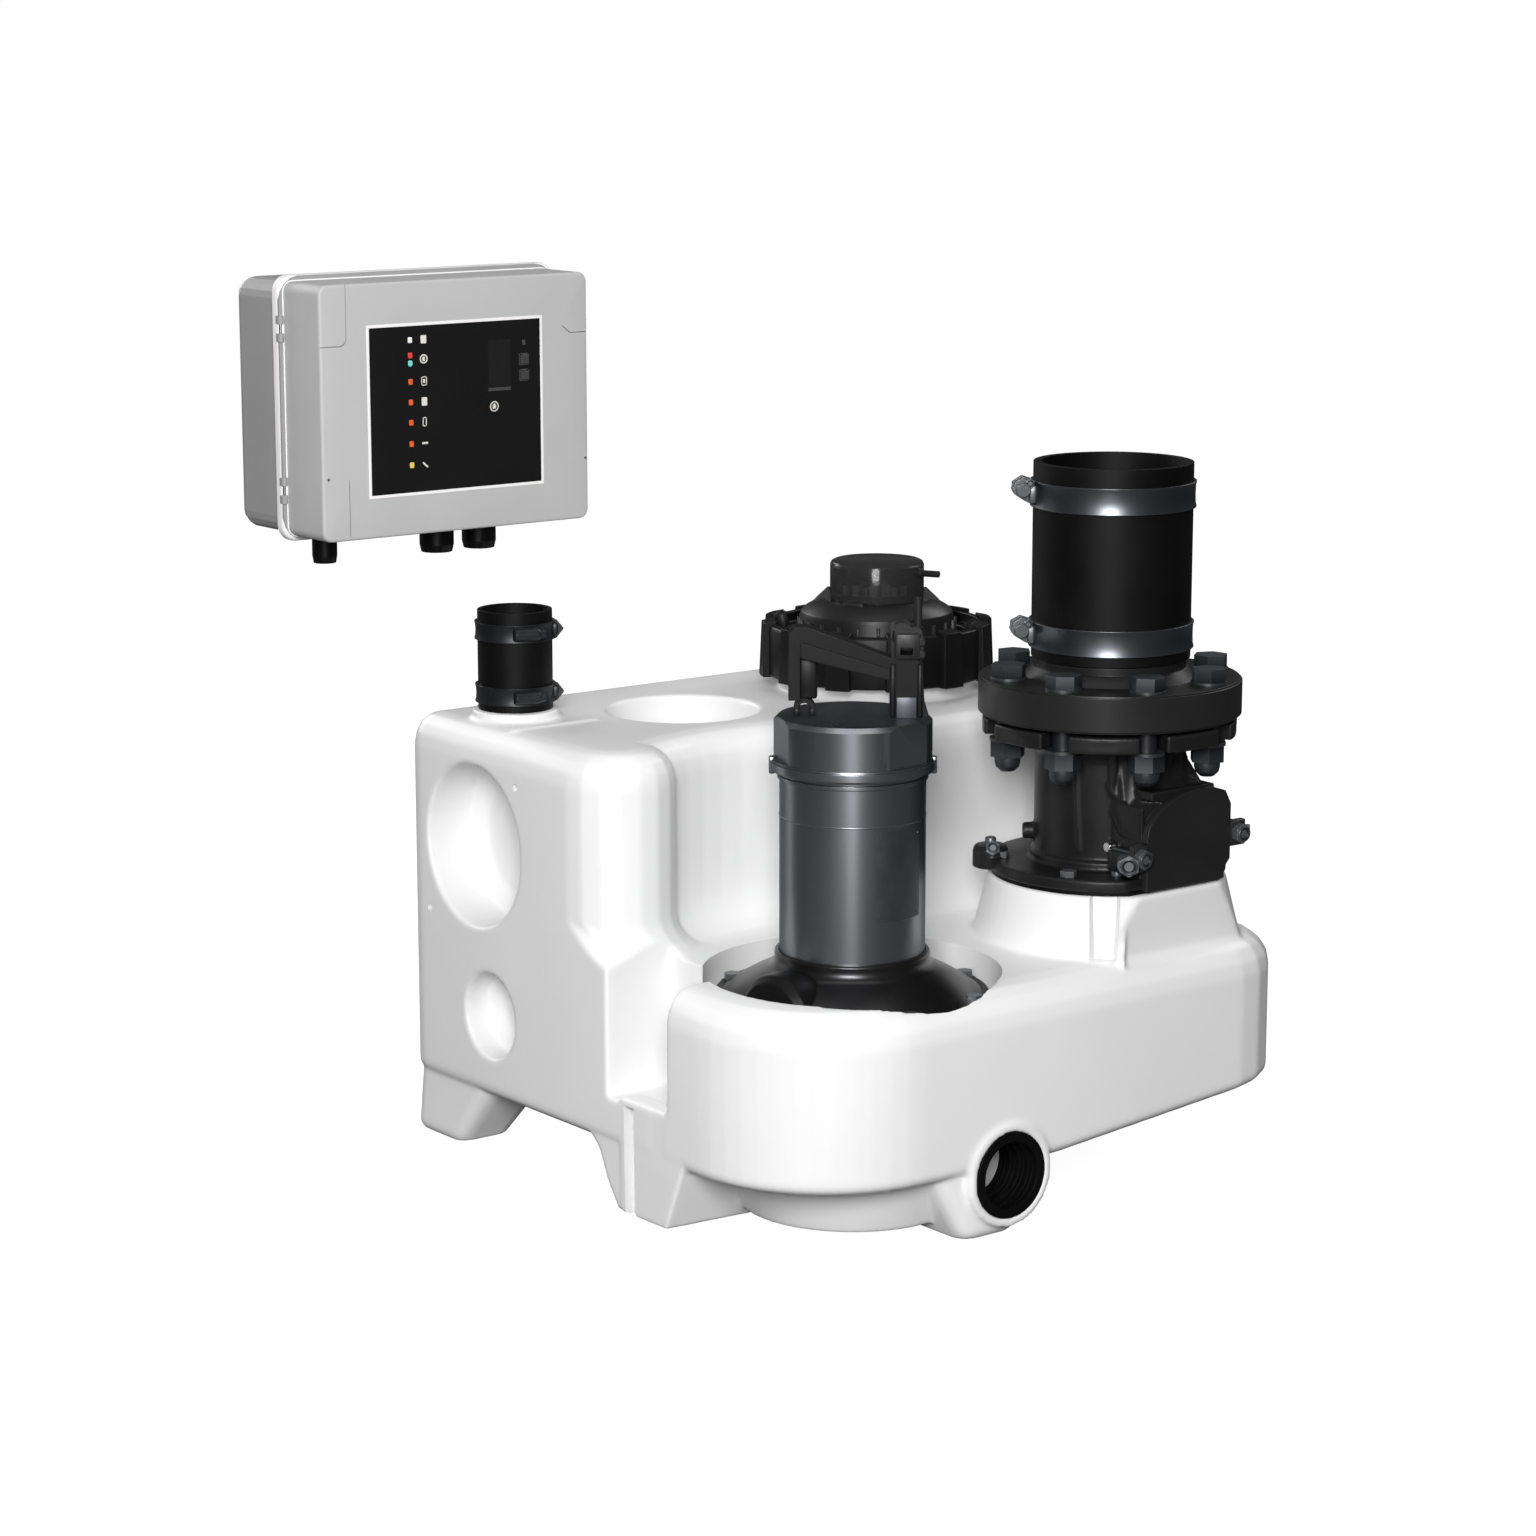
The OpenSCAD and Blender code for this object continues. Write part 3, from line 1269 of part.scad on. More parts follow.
module display_window() {
    color("#050505") at_origin() translate([panel_x + 109.5, ctl_y - 0.5, panel_z + 77.5])
        cube([20.7, 0.3, 37.2]);
}

// Push button: a square cap on a stem that slides through the panel
module push_button(z) {
    translate([button_x - button_w / 2, ctl_y - 1.8, z - button_w / 2]) cube([button_w, 3.6, button_w]);
    along_y(button_x, ctl_y + 1.7, z) cylinder(r = 2.2, h = 6, $fn = 24);
}

module upper_button() {
    color("#4b4e50") at_origin() push_button(button_zs[0]);
}

module lower_button() {
    color("#4b4e50") at_origin() push_button(button_zs[1]);
}

tank();
hand_pump_seal();
flange_seal();
pump_flange();
flange_screws();
volute();
delivery_bend();
impeller();
pump_shaft();
rotor_core();
stator();
bearing_bracket();
lower_bearing();
upper_bearing();
shaft_seal();
motor_sleeve();
motor_joint_ring();
motor_head();
motor_strap();
cable_entry();
base_gasket();
valve_body();
base_screws();
valve_flap();
flap_rubber();
flap_pin();
cover_gasket();
valve_cover();
cover_screws();
flange_gasket();
adapter_flange();
flange_bolts();
flange_nuts();
discharge_hose();
discharge_clamps();
cap_seal();
cap_ring_nut();
cap_dome();
level_cap();
hose_nozzle();
level_tube();
vent_hose();
vent_clamps();
controller_back_box();
box_gasket();
circuit_board();
board_parts();
hinge_pins();
controller_glands();
gland_nuts();
controller_cover();
screw_flaps();
front_panel();
display_window();
indicator_lights();
upper_button();
lower_button();
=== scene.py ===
import math

import bmesh
import bpy
from mathutils import Matrix, Vector


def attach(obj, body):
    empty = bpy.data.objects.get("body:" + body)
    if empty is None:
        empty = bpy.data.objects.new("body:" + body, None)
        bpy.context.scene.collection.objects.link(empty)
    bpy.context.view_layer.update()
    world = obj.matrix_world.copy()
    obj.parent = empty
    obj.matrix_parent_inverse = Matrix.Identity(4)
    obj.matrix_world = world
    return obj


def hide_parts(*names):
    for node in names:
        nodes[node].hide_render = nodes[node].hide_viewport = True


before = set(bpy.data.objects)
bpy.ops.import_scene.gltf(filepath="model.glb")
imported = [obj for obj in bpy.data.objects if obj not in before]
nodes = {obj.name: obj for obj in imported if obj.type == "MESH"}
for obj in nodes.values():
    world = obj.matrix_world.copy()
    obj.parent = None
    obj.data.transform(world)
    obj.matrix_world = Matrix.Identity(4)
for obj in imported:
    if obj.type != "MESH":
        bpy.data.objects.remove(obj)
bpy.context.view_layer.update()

# Camera: it stands at the left front, a little above the tank, with a long lens, and looks
# slightly down.
camera_place = (-1.8265, -2.37145, 0.906)
camera_tilt, camera_turn = 78.66, -37.60
bpy.context.scene.view_settings.view_transform = "Standard"
lens = bpy.data.cameras.new("camera")
lens.lens = 90.8
lens.sensor_width = 36
lens.clip_start = 0.05
camera = bpy.data.objects.new("camera", lens)
camera.location = camera_place
camera.rotation_euler = (math.radians(camera_tilt), 0, math.radians(camera_turn))
bpy.context.scene.collection.objects.link(camera)
bpy.context.scene.camera = camera


# Studio: a white floor and a white surround, a wide softbox beside the camera, a small one low
# in front of the motor, and weaker ones overhead, at the right and behind. Shiny surfaces see a
# darker surround than dull ones, so that the black parts stay deep.
def softbox(name, place, target, size, power):
    lamp = bpy.data.lights.new(name, "AREA")
    lamp.shape = "RECTANGLE"
    lamp.size, lamp.size_y = size
    lamp.energy = power
    holder = bpy.data.objects.new(name, lamp)
    holder.location = place
    holder.visible_camera = False
    holder.rotation_euler = (Vector(target) - Vector(place)).to_track_quat("-Z", "Y").to_euler()
    bpy.context.scene.collection.objects.link(holder)


softbox("camera_softbox", (-1.78, -2.06, 1.25), (0, 0, 0.25), (0.85, 0.95), 86)
softbox("low_softbox", (-0.85, -1.15, 0.1), (-0.05, -0.1, 0.3), (0.3, 0.4), 0.7)
softbox("top_softbox", (-0.1, -0.2, 2.4), (0, 0, 0.2), (1.4, 1.4), 9)
softbox("side_softbox", (2.2, 0.3, 1.9), (0, 0, 0.3), (1.0, 1.0), 14)
softbox("back_softbox", (-0.4, 2.8, 1.4), (0, 0, 0.25), (1.6, 1.2), 36)
surround_light, shiny_loss = 0.18, 0.115
world = bpy.data.worlds.new("studio")
world.use_nodes = True
surround = world.node_tree
shine = surround.nodes["Background"]
shine.inputs["Color"].default_value = (1, 1, 1, 1)
backdrop = surround.nodes.new("ShaderNodeBackground")
backdrop.inputs["Color"].default_value = (1, 1, 1, 1)
backdrop.inputs["Strength"].default_value = 1.0
seen = surround.nodes.new("ShaderNodeLightPath")
dimmer = surround.nodes.new("ShaderNodeMath")
dimmer.operation = "MULTIPLY_ADD"
dimmer.inputs[1].default_value = -shiny_loss
dimmer.inputs[2].default_value = surround_light
surround.links.new(seen.outputs["Is Glossy Ray"], dimmer.inputs[0])
surround.links.new(dimmer.outputs[0], shine.inputs["Strength"])
either = surround.nodes.new("ShaderNodeMixShader")
surround.links.new(seen.outputs["Is Camera Ray"], either.inputs[0])
surround.links.new(shine.outputs[0], either.inputs[1])
surround.links.new(backdrop.outputs[0], either.inputs[2])
surround.links.new(either.outputs[0], surround.nodes["World Output"].inputs["Surface"])
bpy.context.scene.world = world


def new_piece(name, mesh_maker):
    bm = bmesh.new()
    mesh_maker(bm)
    mesh = bpy.data.meshes.new(name)
    bm.to_mesh(mesh)
    bm.free()
    made = bpy.data.objects.new(name, mesh)
    bpy.context.scene.collection.objects.link(made)
    return made


floor_paint = bpy.data.materials.new("studio_floor")
floor_paint.use_nodes = True
floor_tree = floor_paint.node_tree
bright = floor_tree.nodes["Principled BSDF"]
bright.inputs["Base Color"].default_value = (0.2, 0.2, 0.2, 1)
bright.inputs["Roughness"].default_value = 0.95
bright.inputs["Specular IOR Level"].default_value = 0.0
bright.inputs["Emission Color"].default_value = (1, 1, 1, 1)
bright.inputs["Emission Strength"].default_value = 0.96
dim = floor_tree.nodes.new("ShaderNodeBsdfDiffuse")
dim.inputs["Color"].default_value = (0.1, 0.1, 0.1, 1)
floor_seen = floor_tree.nodes.new("ShaderNodeLightPath")
floor_either = floor_tree.nodes.new("ShaderNodeMixShader")
floor_tree.links.new(floor_seen.outputs["Is Camera Ray"], floor_either.inputs[0])
floor_tree.links.new(dim.outputs[0], floor_either.inputs[1])
floor_tree.links.new(bright.outputs[0], floor_either.inputs[2])
floor_tree.links.new(floor_either.outputs[0], floor_tree.nodes["Material Output"].inputs["Surface"])
floor_half, floor_z = 8, -0.0005
floor = new_piece("studio_floor", lambda bm: bmesh.ops.create_grid(
    bm, x_segments=2, y_segments=2, size=floor_half, matrix=Matrix.Translation((0, 0, floor_z))))
floor.data.materials.append(floor_paint)


# Tank: one hollow rotomoulded polyethylene shell, bright white and satin, with soft edges all
# over. Its blind inlets, feet, cable channel and collar are moulded in one piece with it; the
# sump's edge, the recess in the collar and the foot's groove are cut clean afterwards.
def finish(name, colour, rough, metal=0.0, gloss=0.5, mottle=0.06, mottle_size=0.06, grain=0.12,
           grain_size=0.0012, edge_highlight=0.0, edge_highlight_colour=(0.5, 0.5, 0.5), stretch=(1, 1, 1), clear=0.0):
    made = bpy.data.materials.new(name)
    made.use_nodes = True
    tree = made.node_tree
    shader = tree.nodes["Principled BSDF"]
    shader.inputs["Metallic"].default_value = metal
    shader.inputs["Specular IOR Level"].default_value = gloss
    if clear:
        shader.inputs["Transmission Weight"].default_value = clear
        shader.inputs["IOR"].default_value = 1.25
    place = tree.nodes.new("ShaderNodeTexCoord")
    mapping = tree.nodes.new("ShaderNodeMapping")
    mapping.inputs["Scale"].default_value = stretch
    tree.links.new(place.outputs["Object"], mapping.inputs["Vector"])

    def noise(size, detail):
        cloud = tree.nodes.new("ShaderNodeTexNoise")
        cloud.inputs["Scale"].default_value = 1 / size
        cloud.inputs["Detail"].default_value = detail
        tree.links.new(mapping.outputs["Vector"], cloud.inputs["Vector"])
        return cloud.outputs["Fac"]

    def ramp(source, low, high, start, end):
        steps = tree.nodes.new("ShaderNodeMapRange")
        steps.inputs["From Min"].default_value = start
        steps.inputs["From Max"].default_value = end
        steps.inputs["To Min"].default_value = low
        steps.inputs["To Max"].default_value = high
        tree.links.new(source, steps.inputs["Value"])
        return steps.outputs["Result"]

    def mix(factor, a, b):
        blend = tree.nodes.new("ShaderNodeMix")
        blend.data_type = "RGBA"
        tree.links.new(factor, blend.inputs["Factor"])
        for socket, value in ((blend.inputs["A"], a), (blend.inputs["B"], b)):
            if isinstance(value, tuple):
                socket.default_value = (*value, 1)
            else:
                tree.links.new(value, socket)
        return blend.outputs["Result"]

    broad = noise(mottle_size, 4)
    fine = noise(grain_size, 2)
    shade = tuple(c * (1 - mottle) for c in colour)
    light = tuple(min(1, c * (1 + mottle)) for c in colour)
    tint = mix(ramp(broad, 0, 1, 0.35, 0.65), shade, light)
    # Convex edges, picked out by pointiness, are tinted lighter: a painted highlight along the edges.
    if edge_highlight:
        geometry = tree.nodes.new("ShaderNodeNewGeometry")
        painted_edge_highlight = ramp(geometry.outputs["Pointiness"], 0, edge_highlight, 0.51, 0.58)
        tint = mix(painted_edge_highlight, tint, edge_highlight_colour)
    tree.links.new(tint, shader.inputs["Base Color"])
    tree.links.new(ramp(broad, rough * 0.88, rough * 1.12, 0.3, 0.7), shader.inputs["Roughness"])
    bump = tree.nodes.new("ShaderNodeBump")
    bump.inputs["Strength"].default_value = grain
    bump.inputs["Distance"].default_value = grain_size * 0.3
    tree.links.new(fine, bump.inputs["Height"])
    tree.links.new(bump.outputs["Normal"], shader.inputs["Normal"])
    return made


# Shapes are drawn in millimetres, from the front left corner of the tank's footprint, and this
# matrix sets them into the frame.
row = Matrix.Translation((-0.2029, -0.29675, 0)) @ Matrix.Scale(0.001, 4)


def at(x, y, z, turn=0, tip=None):
    return Matrix.Translation((x, y, z)) @ Matrix.Rotation(math.radians(turn), 4, "Z") @ (tip or Matrix())


def about(axis, angle):
    return Matrix.Rotation(math.radians(angle), 4, axis)


def add(bm, make, *places):
    part = bmesh.new()
    make(part)
    bmesh.ops.remove_doubles(part, verts=part.verts, dist=0.001)
    bmesh.ops.recalc_face_normals(part, faces=part.faces)
    single = bpy.data.meshes.new("part")
    part.to_mesh(single)
    part.free()
    for place in places or (Matrix(),):
        moved = single.copy()
        moved.transform(place)
        bm.from_mesh(moved)
        bpy.data.meshes.remove(moved)
    bpy.data.meshes.remove(single)


def slab(outline, depth, corner=0.0, steps=3):
    def make(bm):
        face = bm.faces.new([bm.verts.new((x, y, 0)) for x, y in outline])
        if corner:
            bmesh.ops.bevel(bm, geom=bm.verts[:], offset=corner, segments=steps, profile=0.5,
                            affect="VERTICES", material=-1, offset_type="OFFSET", clamp_overlap=True)
            face = bm.faces[:][0]
        pulled = bmesh.ops.extrude_face_region(bm, geom=[face])
        raised = [v for v in pulled["geom"] if isinstance(v, bmesh.types.BMVert)]
        bmesh.ops.translate(bm, vec=(0, 0, depth), verts=raised)
        bm.faces.ensure_lookup_table()
    return make


def block(x0, x1, y0, y1, z0, z1, edge=0.0):
    def make(bm):
        size = Matrix.Diagonal((x1 - x0, y1 - y0, z1 - z0, 1))
        middle = Matrix.Translation(((x0 + x1) / 2, (y0 + y1) / 2, (z0 + z1) / 2))
        bmesh.ops.create_cube(bm, size=1, matrix=middle @ size)
        if edge:
            bmesh.ops.bevel(bm, geom=bm.edges[:], offset=edge, segments=2, profile=0.5, affect="EDGES",
                            material=-1, offset_type="OFFSET", clamp_overlap=True)
    return make


def rod(r, h, sides=32, r_top=None):
    def make(bm):
        bmesh.ops.create_cone(bm, cap_ends=True, segments=sides, radius1=r,
                              radius2=r if r_top is None else r_top, depth=h,
                              matrix=Matrix.Translation((0, 0, h / 2)))
    return make


def settle(obj):
    bpy.context.view_layer.update()
    shape = bpy.context.evaluated_depsgraph_get()
    made = bpy.data.meshes.new_from_object(obj.evaluated_get(shape))
    obj.modifiers.clear()
    obj.data = made


def cut(obj, make, whole=True):
    tool = new_piece("cutter", make)
    knife = obj.modifiers.new("cut", "BOOLEAN")
    knife.operation = "DIFFERENCE"
    knife.object = tool
    knife.solver = "MANIFOLD" if whole else "EXACT"
    settle(obj)
    bpy.data.objects.remove(tool)


def fuse(obj, grid, relax, faces):
    skin = obj.modifiers.new("skin", "REMESH")
    skin.mode = "VOXEL"
    skin.voxel_size = grid * 1
    settle(obj)
    soft = obj.modifiers.new("soft edges", "SMOOTH")
    soft.factor = 0.5
    soft.iterations = relax
    thin = obj.modifiers.new("fewer faces", "DECIMATE")
    thin.ratio = min(1, faces / (2 * len(obj.data.polygons)))
    settle(obj)
    for face in obj.data.polygons:
        face.use_smooth = True


def belongs(obj, material, body, replaces):
    obj.data.materials.clear()
    obj.data.materials.append(material)
    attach(obj, body)
    if replaces:
        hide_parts(*replaces)


def merged_copy(node, name):
    made = bpy.data.objects.new(name, nodes[node].data.copy())
    bpy.context.scene.collection.objects.link(made)
    bm = bmesh.new()
    bm.from_mesh(made.data)
    bmesh.ops.remove_doubles(bm, verts=bm.verts, dist=2e-6)
    bm.to_mesh(made.data)
    bm.free()
    return made


def join(obj, make):
    bm = bmesh.new()
    bm.from_mesh(obj.data)
    extra = bmesh.new()
    make(extra)
    extra.transform(row)
    mesh = bpy.data.meshes.new("extra")
    extra.to_mesh(mesh)
    extra.free()
    bm.from_mesh(mesh)
    bpy.data.meshes.remove(mesh)
    bm.to_mesh(obj.data)
    bm.free()


def between(low, high):
    def make(bm):
        rings = [bm.faces.new([bm.verts.new(point) for point in ring]) for ring in (low, high)]
        bmesh.ops.bridge_loops(bm, edges=[edge for ring in rings for edge in ring.edges])
    return make


white_plastic = finish("white polyethylene", (0.8, 0.8, 0.8), 0.38, gloss=0.45, mottle=0.012,
                       mottle_size=0.09, grain=0.08, grain_size=0.0016)
pump = (146, 120)
valve = (380, 95)
recess_turn = 226.7
pilot_places = ((352, 306), (476, 189))
sump_r, sump_ledge = 112.5, 160.6
# Stands a flat outline up in y and z, so that its depth runs along x.
outward = Matrix(((0, 0, 1, 0), (1, 0, 0, 0), (0, 1, 0, 0), (0, 0, 0, 1)))
groove_y, groove_top = (198.5, 211.5), 86


# The wide foot at the front left flares up to the bowl, with a web along the side over it and a
# rounded step behind it.
def front_feet(bm):
    add(bm, between([(1.2, 160, 1), (1.2, 217, 1), (84, 217, 1), (84, 153, 1)],
                    [(0.3, 134, 61), (0.3, 217, 61), (106, 217, 61), (106, 126, 61)]))
    add(bm, block(0.4, 19, 153, 217, 40, 91))
    add(bm, slab([(213, 1.5), (223, 1.5), (237, 21), (248, 44), (266, 59), (213, 63)], 54),
        Matrix.Translation((1.5, 0, 0)) @ outward)


def collar_backing(bm):
    add(bm, between([(87, -16, 176), (103, -16, 176), (103, 16, 176), (87, 16, 176)],
                    [(76, -17, 234.5), (89.6, -17, 234.5), (89.6, 17, 234.5), (76, 17, 234.5)]),
        at(*valve, 0, recess_turn))


def tank_grooves(bm):
    add(bm, block(-5, 9, *groove_y, -4, groove_top))
    add(bm, between([(94.6, -7, 187.8), (94.6, 7, 187.8), (84.6, 9.4, 240), (84.6, -9.4, 240)],
                    [(134.6, -24.6, 187.8), (134.6, 24.6, 187.8), (124.6, 27, 240), (124.6, -27, 240)]),
        at(*valve, 0, recess_turn))
    add(bm, rod(sump_r, 30, 192), at(*pump, sump_ledge))
    bm.transform(row)


tank = merged_copy("tank", "tank_moulding")
join(tank, front_feet)
join(tank, collar_backing)
fuse(tank, grid=0.0021, relax=5, faces=195000)
cut(tank, tank_grooves)


def pilot_holes(bm):
    for y, z in pilot_places:
        add(bm, rod(3.2, 14, 20), at(-9, y, z, 0, about("Y", 90)))
    bm.transform(row)


cut(tank, pilot_holes)
for face in tank.data.polygons:
    face.use_smooth = True
tank.data.set_sharp_from_angle(angle=math.radians(55))
belongs(tank, white_plastic, "station", ["tank"])


# Rubber parts: all are moulded from black rubber. The hand pump's sleeve with its sealing lips
# is pushed into the front foot, and the flat and round seals lie between the pieces they close.
def dress(node, material, edge=0.0006, crease=32):
    made = nodes[node]
    made.data.materials.clear()
    made.data.materials.append(material)
    weld = made.modifiers.new("weld", "WELD")
    weld.merge_threshold = 2e-6
    flat = made.modifiers.new("flat faces", "DECIMATE")
    flat.decimate_type = "DISSOLVE"
    flat.angle_limit = math.radians(0.6)
    if edge:
        bevel = made.modifiers.new("edges", "BEVEL")
        bevel.width = edge
        bevel.segments = 2
        bevel.limit_method = "ANGLE"
        bevel.angle_limit = math.radians(crease)
        bevel.harden_normals = True
    normal = made.modifiers.new("normals", "WEIGHTED_NORMAL")
    normal.keep_sharp = True


black_rubber = finish("black rubber", (0.003, 0.003, 0.0031), 0.5, gloss=0.14, mottle=0.2, grain=0.2,
                      grain_size=0.0008)
for name in ("hand_pump_seal", "flange_seal", "base_gasket", "flap_rubber", "cover_gasket", "flange_gasket",
             "cap_seal", "box_gasket"):
    dress(name, black_rubber)


# Pump foot: a dark cast bell that carries the motor, held by a black foot ring that is screwed
# over the sump; at the left a black arched hood covers the cable's way through the ring.
def turned(profile, steps=96):
    def make(bm):
        points = [bm.verts.new((r, 0, z)) for r, z in profile]
        lines = [bm.edges.new(pair) for pair in zip(points, points[1:] + points[:1])]
        bmesh.ops.spin(bm, geom=points + lines, cent=(0, 0, 0), axis=(0, 0, 1), dvec=(0, 0, 0),
                       angle=math.tau, steps=steps, use_merge=True, use_duplicate=False)
    return make


def part_mesh(name, make, material, body="station", replaces=(), edge=0.6, crease=30,
              steps=2):
    def in_row(bm):
        make(bm)
        bm.transform(row)
    made = new_piece(name, in_row)
    for face in made.data.polygons:
        face.use_smooth = True
    if edge:
        bevel = made.modifiers.new("edges", "BEVEL")
        bevel.width = edge / 1000
        bevel.segments = steps
        bevel.limit_method = "ANGLE"
        bevel.angle_limit = math.radians(crease)
        bevel.harden_normals = True
    else:
        made.data.set_sharp_from_angle(angle=math.radians(crease))
    belongs(made, material, body, replaces)
    return made


# The black plastics are tinted lighter on their convex edges as a painted highlight.
black_plastic = finish("black moulded plastic", (0.0115, 0.0115, 0.0118), 0.38, gloss=0.22, mottle=0.15,
                       grain=0.15, grain_size=0.0006, edge_highlight=0.4, edge_highlight_colour=(0.035, 0.035, 0.036))
deep_black = finish("deep black plastic", (0.0045, 0.0045, 0.0047), 0.4, gloss=0.16, mottle=0.2, grain=0.15,
                    grain_size=0.0006, edge_highlight=0.4, edge_highlight_colour=(0.02, 0.02, 0.021))
bell_casting = finish("dark painted casting", (0.045, 0.045, 0.047), 0.3, metal=0.9, mottle=0.1, grain=0.1,
                      grain_size=0.0012)
ring_screws, ring_screw_circle, first_ring_screw = 8, 97.2, 32.5
hood_turn, hood_height, hood_reach = 190, 165, 76


def pump_bell(bm):
    add(bm, turned([(54.9, 203.5), (57.4, 203.5), (58.4, 202), (58.4, 200.4), (58, 198.6), (58.6, 195.4),
                    (60.4, 192.6), (63.4, 190.6), (68, 188.6), (78, 183.6), (90, 176.6), (97, 171.4),
                    (97, 169.2), (60, 169.2), (55, 180)]), at(*pump, 0))


def foot_ring(bm):
    add(bm, turned([(68.2, 163), (104, 163), (104, 169), (102.5, 171), (90, 171), (86, 169), (75, 169),
                    (68.2, 168)]), at(*pump, 0))
    for k in range(ring_screws):
        place = at(*pump, 0, first_ring_screw + 360 / ring_screws * k) @ at(ring_screw_circle, 0, 0)
        add(bm, turned([(0.1, 163.2), (8.2, 163.2), (7.4, 169.8), (6.6, 170.6), (0.1, 170.6)], 28), place)


def bead(points, r):
    def make(bm):
        for k, point in enumerate(points):
            bmesh.ops.create_icosphere(bm, subdivisions=2, radius=r, matrix=Matrix.Translation(point))
            if k:
                a, b = Vector(points[k - 1]), Vector(point)
                lie = (b - a).to_track_quat("Z", "Y").to_matrix().to_4x4()
                bmesh.ops.create_cone(bm, cap_ends=True, segments=16, radius1=r, radius2=r,
                                      depth=(b - a).length, matrix=Matrix.Translation((a + b) / 2) @ lie)
    return make


def cable_hood(bm):
    def saddle(part):
        profile = ((20, -16), (28, -15), (33, -9), (34, 2), (31, 20), (26, 34), (20, 34))
        face = part.faces.new([part.verts.new((r, y, 0)) for r, y in profile])
        bmesh.ops.spin(part, geom=[face], cent=(0, 0, 0), axis=(0, 1, 0), dvec=(0, 0, 0), angle=-math.pi,
                       steps=28, use_merge=False, use_duplicate=False)
    place = at(*pump, hood_height, hood_turn) @ at(hood_reach, 0, 0, 90)
    add(bm, saddle, place)
    add(bm, rod(24, 48, 40), place @ at(0, -15.7, 0, 0, about("X", -90)))
    add(bm, bead([(-31, -15, 4), (-44, -14, 6), (-60, -8, 4)], 5), place)
    add(bm, bead([(30, -14, 4), (44, -12, 5), (62, -4, 3)], 5), place)


part_mesh("pump_bell", pump_bell, bell_casting, replaces=["pump_flange"], edge=0.5)
part_mesh("pump_foot_ring", foot_ring, deep_black, edge=0.9)
part_mesh("cable_hood", cable_hood, deep_black, edge=1.2, steps=3)
dark_casting = finish("dark cast iron", (0.05, 0.052, 0.055), 0.55, metal=0.3, grain=0.5, grain_size=0.001)
for name in ("volute", "impeller", "bearing_bracket", "valve_flap"):
    dress(name, dark_casting)


# Motor: a drawn steel can, a joint ring and a pressed head with three flats and a round shoulder,
# in dark blue grey metallic paint. A bare plate is riveted to the can's right side.
# The motor steel is tinted lighter on its convex edges as a painted highlight.
motor_steel = finish("motor steel", (0.22, 0.23, 0.25), 0.31, metal=0.95, gloss=0.5, mottle=0.05, grain=0.06,
                     grain_size=0.0008, edge_highlight=0.5, edge_highlight_colour=(0.4, 0.42, 0.45), stretch=(1, 1, 0.15))
for name in ("motor_sleeve", "motor_joint_ring", "motor_head"):
    dress(name, motor_steel, edge=0.0008, crease=20)
motor_steel.node_tree.nodes["Principled BSDF"].inputs["Specular Tint"].default_value = (0.3, 0.3, 0.3, 1)
head = nodes["motor_head"]
shoulder = head.modifiers.new("shoulder", "BEVEL")
shoulder.width = 0.003
shoulder.segments = 6
shoulder.limit_method = "ANGLE"
shoulder.angle_limit = math.radians(60)
head.modifiers.move(len(head.modifiers) - 1, 2)
plate_metal = finish("bare plate", (0.085, 0.09, 0.1), 0.5, metal=0.8, mottle=0.06, mottle_size=0.02,
                     grain=0.1)
plate_in, plate_out, plate_low, plate_high = 54.6, 55.05, 235, 302
plate_turn, plate_arc, rivet_turns = 250, 45, (253, 292)
clip_turns = (143, 322)


def rating_plate(bm):
    def strip(part):
        corners = [part.verts.new((r, 0, z)) for r, z in ((plate_in, plate_low), (plate_out, plate_low),
                                                          (plate_out, plate_high), (plate_in, plate_high))]
        bmesh.ops.spin(part, geom=[part.faces.new(corners)], cent=(0, 0, 0), axis=(0, 0, 1), dvec=(0, 0, 0),
                       angle=math.radians(plate_arc), steps=16, use_merge=False, use_duplicate=False)
    add(bm, strip, at(*pump, 0, plate_turn))
    for rivet_turn in rivet_turns:
        for z in (plate_low + 4, plate_high - 4):
            add(bm, rod(1.2, 0.7, 14, 0.9), at(*pump, z, rivet_turn) @ at(55, 0, 0, 0, about("Y", 90)))


part_mesh("rating_plate", rating_plate, plate_metal, edge=0.12, crease=40)


def joint_clips(bm):
    for clip_turn in clip_turns:
        add(bm, block(58, 62.4, -3, 3, 337, 350, 1), at(*pump, 0, clip_turn))
    add(bm, turned([(54.5, 305.6), (54.95, 305.9), (54.95, 306.8), (54.5, 307.1)]), at(*pump, 0))
    add(bm, turned([(54.5, 334), (56.2, 334.6), (56.2, 337.4), (54.5, 338)]), at(*pump, 0))


part_mesh("joint_clips", joint_clips, motor_steel, edge=0.4)


# Motor strap: a moulded black bar over the motor. It is fixed on the motor's head by a post with
# a clamp foot at its left end and by a leg at its right end, which carries the cable block.
strap_turn = -37.6
along_strap = at(*pump, 0, strap_turn)
facing = about("X", 90)
head_top = 380.6


def strap(bm):
    add(bm, slab([(-48, 393), (-39, 393), (-39, 425), (27, 408.5), (27, head_top), (56, head_top),
                  (52.5, 392), (50.5, 421), (46, 425), (28, 425), (-34, 448), (-43, 448), (-48, 443)], 17),
        along_strap @ at(0, 8, 0, 0, facing))
    add(bm, slab([(-38.9, 425), (27, 408.5), (27, 417), (-38.9, 437)], 3.4),
        along_strap @ at(0, -8.6, 0, 0, facing))
    add(bm, block(-48, -39, 7, 17, 393, 446, 1), along_strap)
    add(bm, block(-40, -26.5, -5, 12, 393.5, 424, 2), along_strap)
    add(bm, block(27, 31, -12, 8, 381, 421, 0.8), along_strap)
    add(bm, block(47, 51, -12, 8, 381, 421, 0.8), along_strap)


